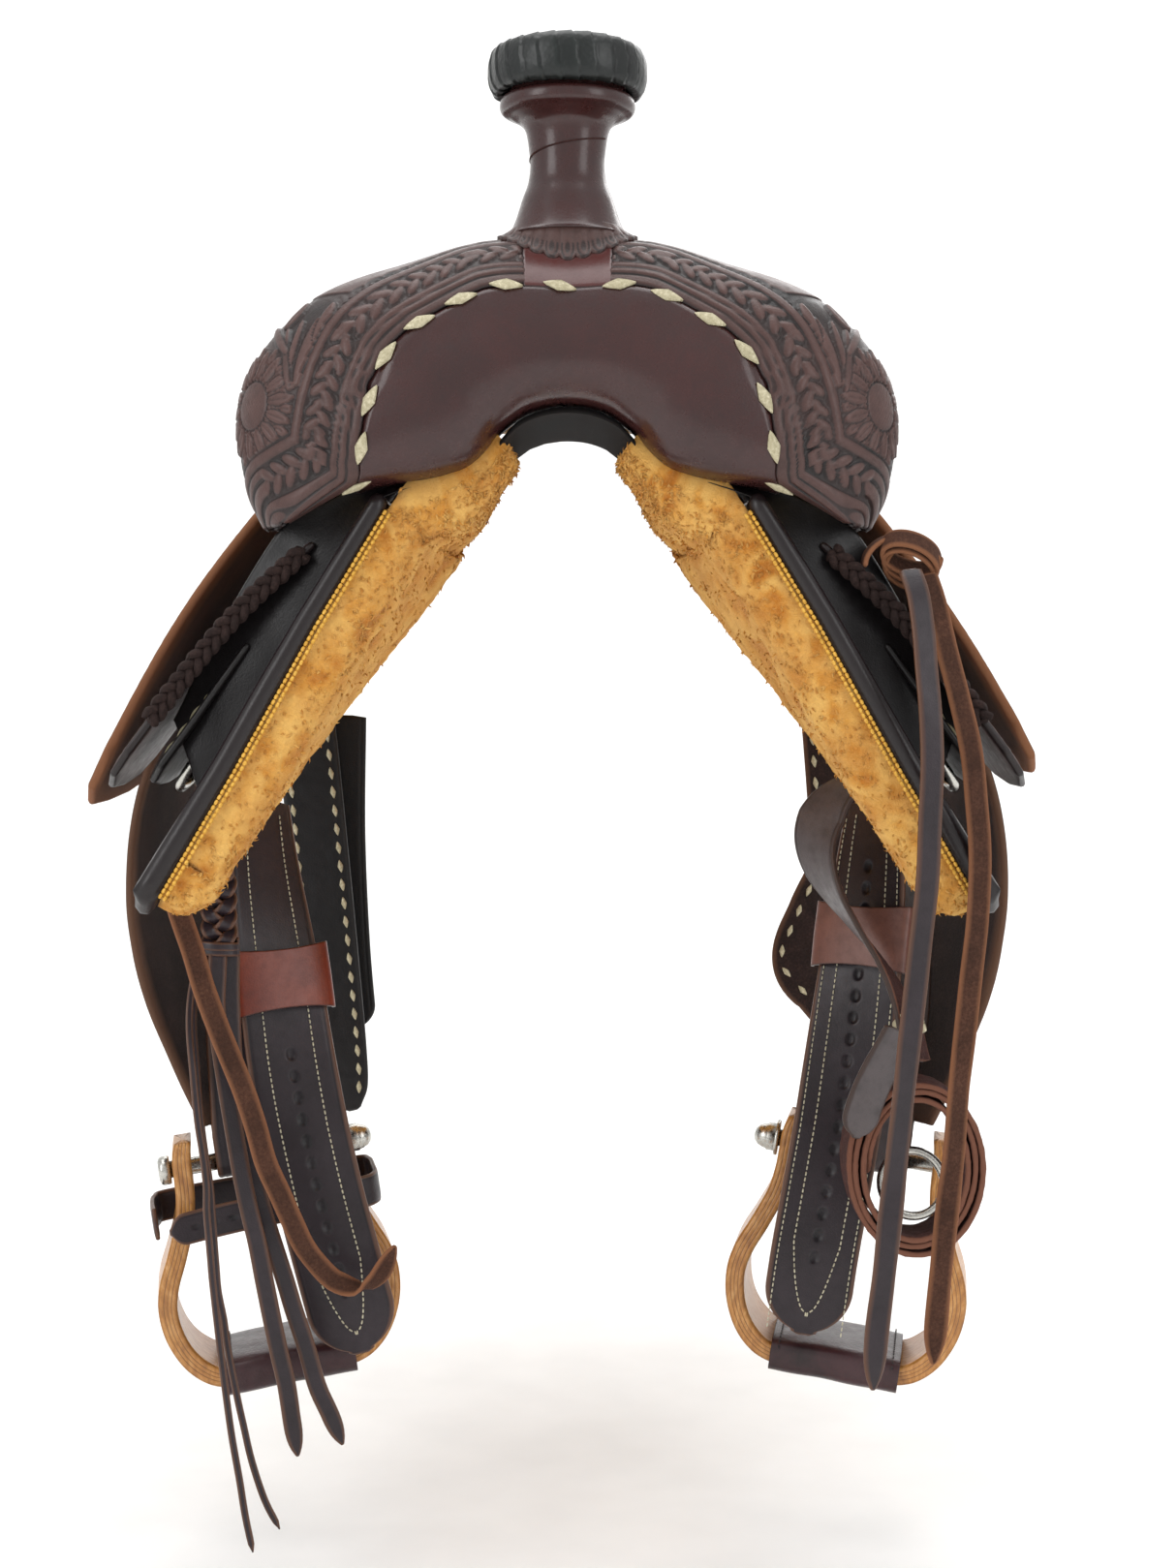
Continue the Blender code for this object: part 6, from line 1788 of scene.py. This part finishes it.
def make_tread(label, bolt, axis, depth, up, body):
    """Leather wrap of the foot: a rounded sleeve, wrinkled at its ends, with a laced seam below."""
    turns = np.linspace(0, 2 * math.pi, 121)[:-1]
    ca = np.sign(np.cos(turns)) * np.abs(np.cos(turns)) ** 0.42
    sa = np.sign(np.sin(turns)) * np.abs(np.sin(turns)) ** 0.5
    u = np.linspace(-38, 38, 110)[:, None]
    sag = -0.06 * (u / 38) ** 2
    v = 32.5 * ca[None, :] * (1 + 0.012 * np.sin(u / 5))
    w = -122.3 + 11.3 * sa[None, :] + 3.0 * sag + 1.0 * (sa[None, :] > 0) * (1 - (u / 38) ** 2)
    grid = bolt + axis * (u + 0 * v)[..., None] + depth * v[..., None] + up * w[..., None]
    wrinkle = 0.45 * noise(grid * (0.35, 1, 1), 6) + 0.35 * noise(grid, 18)
    outward = unit(grid - grid.mean(1, keepdims=True))
    outer = grid + outward * wrinkle[..., None]
    inner = bolt + axis * (u[::-1] + 0 * v)[..., None] + depth * (28.9 * ca[None, :] + 0 * u)[..., None] \
        + up * (-123.0 + 7.9 * sa[None, :] + 0 * u)[..., None]
    loops = np.concatenate([outer, inner[::8]])
    # The wrinkles also set the relief: painted shade in their troughs and a painted highlight on their crests.
    relief = np.concatenate([np.clip(wrinkle, -1, 1), np.zeros_like(wrinkle[::8])])
    piece("tread_wrap_" + label, swept(loops, relief, closed=True), MATERIALS["tread"], body,
          ["stirrup_tread_" + label])
    seam = []
    for u0 in (-33.5, 33.5):
        turn = np.linspace(0.08, math.pi - 0.08, 90)
        ring = bolt + axis * u0 + depth * (32.6 * np.sign(np.cos(turn)) * np.abs(np.cos(turn)) ** 0.42)[:, None] \
            + up * (-121.6 + 12.0 * np.sin(turn) ** 0.5)[:, None]
        seam.append(stitch_row(ring, unit(ring - (bolt - up * 122.3 + axis * u0)), 3.4, 0.9))
    piece("tread_stitches_" + label, join(seam), MATERIALS["dark_thread"], body)


def make_bolt(label, side, bolt, axis, body):
    """Stirrup bolt: round head with a chamfer at one end, washer and domed cap nut at the other."""
    key = [(0.3, -59.6), (6.2, -59.4), (7.9, -58.4), (8.5, -57), (8.5, -53.4), (8.0, -52.7), (BOLT_RADIUS, -52.6),
           (BOLT_RADIUS, 52.6), (10.2, 52.7), (10.6, 53.2), (10.6, 54.4), (10.2, 54.9), (8.3, 55), (8.3, 59.4),
           (7.6, 60.0), (7.1, 62.0), (5.9, 64.8), (3.6, 66.9), (0.3, 67.6)]
    profile = np.array(key, float)
    if side > 0:
        profile = profile[::-1] * (1, -1)
    piece("stirrup_bolt_steel_" + label, turned(profile, bolt, axis, 60), MATERIALS["steel"], body,
          ["stirrup_bolt_" + label])


def make_hobble():
    """Hobble strap round the neck of the off-side stirrup, its rounded end lapped over itself."""
    bolt = np.array(BOLTS["left"], float)
    axis, depth, up = stirrup_axes(-1)
    wrap = np.array([(-56, -35, -29), (-30, -31, -28), (0, -30, -27), (34, -30, -27), (56, -29, -27),
                     (65, -20, -27), (66, 0, -27), (65, 20, -27), (56, 29, -27), (0, 30, -27),
                     (-56, 29, -27), (-65, 20, -27), (-66, 0, -27), (-65, -17, -27)], float)
    points = bolt + wrap[:, :1] * axis + wrap[:, 1:2] * depth + wrap[:, 2:] * up
    line = smooth_line(points, 240)

    def face(s, a):
        rim = 9.5 - np.abs(a)
        return -0.4 * bump(rim, 2.0, 0.5) + punched(s, a, 14, 11, 50, 3.2, 4.2, 1.0)

    shape = strap(line, up, 19, 3, butt=9, face=face, back=face, cells=34)
    piece("hobble_leather", shape, MATERIALS["strap"], "stirrup_left_body",
          ["hobble_strap_left"])


# ---------------------------------------------------------------- billets, latigo and knots

def plate_strap(stations, count):
    """Path and width of a strap whose stations hold x, y, z and width."""
    line = smooth_line(stations, count)
    return line[:, :3], line[:, 3]


def make_billets():
    """Rear billets edged with two rows of rawhide lozenges, and the plain flank strap."""
    left = [(-186, 424, -154, 40), (-182, 424, -200, 42), (-175, 424, -274, 42), (-168, 424, -340, 40),
            (-161, 424, -400, 36), (-156, 424, -430, 28), (-153, 424, -444, 12)]
    right = [(186, 424, -154, 44), (192, 424, -230, 44), (196, 424, -268, 48), (183, 424, -306, 54),
             (172, 424, -338, 54), (184, 424, -362, 44), (194, 424, -384, 30), (198, 424, -398, 16)]
    for label, side, stations in (("left", -1, left), ("right", 1, right)):
        body = "billet_" + label + "_body"
        path, width = plate_strap(stations, 220)

        def face(s, a):
            return 0.12 * noise(np.stack([s, a, 0 * s], -1), 5)

        shape = strap(path, (1.0, 0, 0), width, 4, face=face, back=face, cells=26)
        piece("billet_leather_" + label, shape, MATERIALS["black" if side < 0 else "roughout_dark"], body,
              ["rear_billet_" + label])
        length = lengths_along(path)
        places = np.arange(12, length[-1] - 16, 13.2 if side < 0 else 15.5)
        centres, runs = [], []
        for s in (-1, 1):
            for place in places:
                here = np.array([np.interp(place, length, path[:, k]) for k in range(3)])
                ahead = np.array([np.interp(place + 3, length, path[:, k]) for k in range(3)])
                half = np.interp(place, length, width) / 2 - 6.5
                half_ahead = np.interp(place + 3, length, width) / 2 - 6.5
                centres.append(here + (s * max(half, 2.5), -2.1, 0))
                runs.append(unit(ahead - here + (s * (half_ahead - half), 0, 0) + np.array([0.3, 0, 0])))
        normal = np.broadcast_to((0.0, -1.0, 0.0), (len(centres), 3))
        piece("billet_buckstitch_" + label, lozenges(np.array(centres), np.array(runs), normal, 9.0, 3.8, 1.1),
              MATERIALS["rawhide"], body)
    flank = smooth_line([(-166, 445, -166), (-167, 445, -250), (-164, 445, -330), (-159, 445, -392)], 140)

    def holes(s, a):
        return punched(s, a, 120, 19, 215, 4.5, 6.5, 1.3) - 0.4 * bump(22 - np.abs(a), 3.2, 0.6)

    piece("flank_leather", strap(flank, (1.0, 0, 0), 44, 3.6, tip=18, face=holes, back=holes, cells=40),
          MATERIALS["black"], "billet_left_body", ["flank_strap_left"])


def two_faced(name, shape, body, nodes):
    """A strap with a grey grain side, and the russet flesh side as its second finish."""
    obj = piece(name, shape, MATERIALS["grey"], body, nodes)
    obj.data.materials.append(MATERIALS["flesh"])
    return obj


def make_latigo():
    """Near-side latigo: hanging loop, tie, wound coil with its free end, and the cinch ring in it."""
    route = [(208, 110, -214), (196, 114, -201), (180, 117, -194), (164, 117, -197), (150, 116, -208),
             (142, 114, -224), (142, 112, -240), (149, 108, -258), (162, 104, -278), (175, 100, -296),
             (185, 95, -314), (191, 88, -332), (193, 82, -350)]
    path = smooth_line(route, 200)

    def face(s, a):
        return -0.35 * bump(18 - np.abs(a), 2.6, 0.6) + 0.2 * noise(np.stack([s, a, 0 * s], -1), 9)

    def flesh(s, a):
        return 0.25 * noise(np.stack([s, a, 0 * s], -1), 2.4)

    lean = np.radians(np.interp(np.linspace(0, 1, 200), [0, 0.35, 0.6, 1], [-10, 42, 8, -34]))
    across = np.column_stack([-np.sin(lean), np.cos(lean), np.zeros(200)])
    cells = 38
    shape = strap(path, across, 36, 3.6, face=flesh, back=face, cells=cells)
    obj = two_faced("latigo_loop", shape, "latigo_body", ["latigo_strap"])
    # A ring of the strap has a face and a back of cells + 1 columns and four corner columns.
    ring = 2 * (cells + 1) + 4
    flip = np.arange(len(obj.data.polygons)) % ring
    index = np.where((flip >= cells + 2) & (flip < 2 * cells + 3), 1, 0).astype(np.int32)
    index[(len(path) + 1) * ring:] = 0
    obj.data.polygons.foreach_set("material_index", index)
    make_tie()
    turns = np.linspace(0, 2 * math.pi * 3.2, 420)
    share = turns / turns[-1]
    grow = 1 - 0.30 * share
    wobble = 0.9 * np.sin(turns * 1.7 + 1)
    line = np.column_stack([192 + (38 * grow + wobble * 0.6) * np.cos(turns + 2.0), 75 + 0.6 * np.sin(turns * 0.8),
                            -407 + (51 * grow + wobble) * np.sin(turns + 2.0)])
    shape = strap(line, (0, 1.0, 0), 33, 3.2, butt=16, tip=16, face=flesh, back=flesh, cells=30)
    piece("latigo_coil_turns", shape, MATERIALS["flesh"], "latigo_body", ["latigo_coil"])
    end = smooth_line([(180, 46, -330), (169, 46, -350), (161, 45, -368), (156, 45, -386)], 90)
    shape = strap(end, (0.9, 0.43, 0), 24, 3.2, tip=12, face=face, back=flesh, cells=26)
    piece("latigo_end_strap", shape, MATERIALS["grey"], "latigo_body", ["latigo_end"])
    turn = np.linspace(0, 2 * math.pi, 97)[:-1]
    ring = np.column_stack([191 + 17.5 * np.cos(turn), 72 + 6 * np.sin(turn), -418 + 17 * np.sin(turn)])
    piece("cinch_ring_steel", tube(ring, 2.4, 14, True), MATERIALS["steel"], "latigo_body",
          ["cinch_ring"])


def make_tie():
    """Rawhide tie: three snug turns of flat lace round the latigo."""
    centre = np.array([191.0, 88.0, -333.0])
    long_dir, wide_dir, thick_dir = (unit(np.array(v)) for v in
                                     ((0.22, -0.28, -0.93), (0, 0.96, -0.28), (0.97, 0.06, 0.22)))
    turns = np.linspace(0, 2 * math.pi * 3, 260)
    ca = np.sign(np.cos(turns)) * np.abs(np.cos(turns)) ** 0.5
    sa = np.sign(np.sin(turns)) * np.abs(np.sin(turns)) ** 0.5
    line = centre + wide_dir * (22.6 * ca)[:, None] + thick_dir * (5.6 * sa)[:, None] \
        + long_dir * ((turns / (2 * math.pi) - 1.5) * 4.8)[:, None]
    piece("latigo_tie_lace", strap(line, long_dir, 4.9, 1.8, cells=6), MATERIALS["rawhide"], "latigo_body",
          ["latigo_tie"])


def make_knots():
    """Plaited knot of the off-side strings, and the wrapped bosal knot at the near-side swell."""
    z = np.linspace(-248, -292, 110)
    phase = np.linspace(0, 2 * math.pi * 1.6, 110)
    strands = []
    for k in range(3):
        p = phase + 2 * math.pi * k / 3
        line = np.column_stack([-197 + 6.2 * np.sin(p), 105 + 3.2 * np.sin(2 * p), z])
        strands.append(strap(line, (1.0, 0.1, 0), 8.5, 2.6, cells=8))
    wrap = np.linspace(0, 2 * math.pi * 2.2, 120)
    ring = np.column_stack([-197 + 10.5 * np.cos(wrap), 105 + 6.6 * np.sin(wrap), -287 - wrap * 0.45])
    strands.append(strap(ring, (0, 0.1, 1.0), 5.0, 1.8, cells=6))
    piece("plaited_knot", join(strands), MATERIALS["strap"], "saddle_body",
          ["string_knot_left"])
    turns = np.linspace(0, 2 * math.pi * 2.6, 200)
    line = np.column_stack([177 + 15 * np.cos(turns) * (1 - turns * 0.012), -2 + 9 * np.sin(turns) + turns * 0.5,
                            -73 - 8.5 * np.sin(turns + 0.5) - turns * 0.5])
    loops = [strap(line, (0.2, 0.5, 0.85), 10.5, 2.6, tip=9, butt=9, cells=8)]
    arch = np.linspace(0, math.pi, 60)
    line = np.column_stack([172 + 19 * np.cos(arch), np.full(60, 2.0), -80 + 15 * np.sin(arch)])
    loops.append(strap(line, (0, 1.0, 0.15), 12, 2.6, cells=8))
    piece("near_side_knot", join(loops), MATERIALS["roughout"], "saddle_body")


# ---------------------------------------------------------------- sizes, operators and panel

class SaddleSizes(bpy.types.PropertyGroup):
    """Sizes that a user may change before the pieces are made."""

    key_light: bpy.props.FloatProperty(name="Soft boxes", description="Strength of the studio soft boxes",
                                       default=1.0, min=0.0, max=10.0)
    room_light: bpy.props.FloatProperty(name="Room light", description="Strength of the pale room",
                                        default=0.8, min=0.0, max=5.0)


class SaddleColours(bpy.types.PropertyGroup):
    """Colours of the main finishes as sRGB hex codes."""

    tooled: bpy.props.StringProperty(name="Tooled leather", description="Dye of the tooled leather",
                                     default="46302c")
    smooth: bpy.props.StringProperty(name="Smooth leather", description="Dye of the gullet crescent, horn and seat",
                                     default="331c1b")
    strap: bpy.props.StringProperty(name="Strap leather", description="Dye of the straps and strings",
                                    default="221a1e")
    roughout: bpy.props.StringProperty(name="Roughout", description="Colour of the flesh-side leather",
                                       default="4b3024")
    fleece: bpy.props.StringProperty(name="Shearling", description="Colour of the wool", default="dc983f")
    wood: bpy.props.StringProperty(name="Stirrup wood", description="Colour of the laminated wood",
                                   default="b47a38")
    rawhide: bpy.props.StringProperty(name="Rawhide", description="Colour of the buckstitches",
                                      default="b3aa8c")


class SADDLE_OT_stage(bpy.types.Operator):
    """Floor, soft boxes and camera"""

    bl_idname = "saddle.stage"
    bl_label = "Stage and camera"

    def execute(self, context):
        make_stage(context.scene.saddle_sizes)
        return {"FINISHED"}


class SADDLE_OT_finishes(bpy.types.Operator):
    """Leather, wool, wood, steel and rawhide"""

    bl_idname = "saddle.finishes"
    bl_label = "Finishes"

    def execute(self, context):
        make_materials(context.scene.saddle_colours)
        return {"FINISHED"}


class SADDLE_OT_strings(bpy.types.Operator):
    """Free hanging laces and their knots"""

    bl_idname = "saddle.strings"
    bl_label = "Saddle strings"

    def execute(self, context):
        make_strings()
        make_knots()
        return {"FINISHED"}


class SADDLE_OT_fork(bpy.types.Operator):
    """Covers, buckstitches, gullet arch and horn"""

    bl_idname = "saddle.fork"
    bl_label = "Fork and horn"

    def execute(self, context):
        make_covers()
        make_horn()
        make_gullet_lining()
        return {"FINISHED"}


class SADDLE_OT_skirts(bpy.types.Operator):
    """Skirt leather, chain stitch and shearling"""

    bl_idname = "saddle.skirts"
    bl_label = "Skirts and fleece"

    def execute(self, context):
        make_skirts()
        make_fleece()
        return {"FINISHED"}


class SADDLE_OT_flaps(bpy.types.Operator):
    """Rigging plates, dees and jockeys"""

    bl_idname = "saddle.flaps"
    bl_label = "Rigging and jockeys"

    def execute(self, context):
        make_rigging()
        make_jockeys()
        return {"FINISHED"}


class SADDLE_OT_seat(bpy.types.Operator):
    """Seat, cantle back and roll"""

    bl_idname = "saddle.seat"
    bl_label = "Seat and cantle"

    def execute(self, context):
        make_seat()
        return {"FINISHED"}


class SADDLE_OT_fenders(bpy.types.Operator):
    """Fenders, stirrup leathers and keepers"""

    bl_idname = "saddle.fenders"
    bl_label = "Fenders and leathers"

    def execute(self, context):
        make_fenders()
        make_leathers()
        return {"FINISHED"}


class SADDLE_OT_stirrups(bpy.types.Operator):
    """Wood, treads, bolts and hobble strap"""

    bl_idname = "saddle.stirrups"
    bl_label = "Stirrups"

    def execute(self, context):
        make_stirrups()
        return {"FINISHED"}


class SADDLE_OT_rigging_straps(bpy.types.Operator):
    """Rear billets, flank strap and latigo"""

    bl_idname = "saddle.rigging_straps"
    bl_label = "Billets and latigo"

    def execute(self, context):
        make_billets()
        make_latigo()
        return {"FINISHED"}


OPERATORS = [SADDLE_OT_stage,
             SADDLE_OT_finishes,
             SADDLE_OT_strings,
             SADDLE_OT_fork,
             SADDLE_OT_skirts,
             SADDLE_OT_flaps,
             SADDLE_OT_seat,
             SADDLE_OT_fenders,
             SADDLE_OT_stirrups,
             SADDLE_OT_rigging_straps]


class SADDLE_PT_panel(bpy.types.Panel):
    """Buttons and values of the saddle."""

    bl_label = "Saddle"
    bl_idname = "SADDLE_PT_panel"
    bl_space_type = "VIEW_3D"
    bl_region_type = "UI"
    bl_category = "Saddle"

    def draw(self, context):
        for group in (context.scene.saddle_sizes, context.scene.saddle_colours):
            for key in group.bl_rna.properties.keys():
                if key not in ("rna_type", "name"):
                    self.layout.prop(group, key)
        for operator in OPERATORS:
            self.layout.operator(operator.bl_idname)


CLASSES = [SaddleSizes, SaddleColours, *OPERATORS, SADDLE_PT_panel]


def register():
    for cls in CLASSES:
        bpy.utils.register_class(cls)
    bpy.types.Scene.saddle_sizes = bpy.props.PointerProperty(type=SaddleSizes)
    bpy.types.Scene.saddle_colours = bpy.props.PointerProperty(type=SaddleColours)


def unregister():
    del bpy.types.Scene.saddle_colours
    del bpy.types.Scene.saddle_sizes
    for cls in reversed(CLASSES):
        bpy.utils.unregister_class(cls)


def main():
    """Makes the whole saddle."""
    register()
    for operator in OPERATORS:
        name = operator.bl_idname.split(".")[1]
        if getattr(bpy.ops.saddle, name)() != {"FINISHED"}:
            raise RuntimeError(name + " did not finish")


if __name__ == "__main__":
    main()
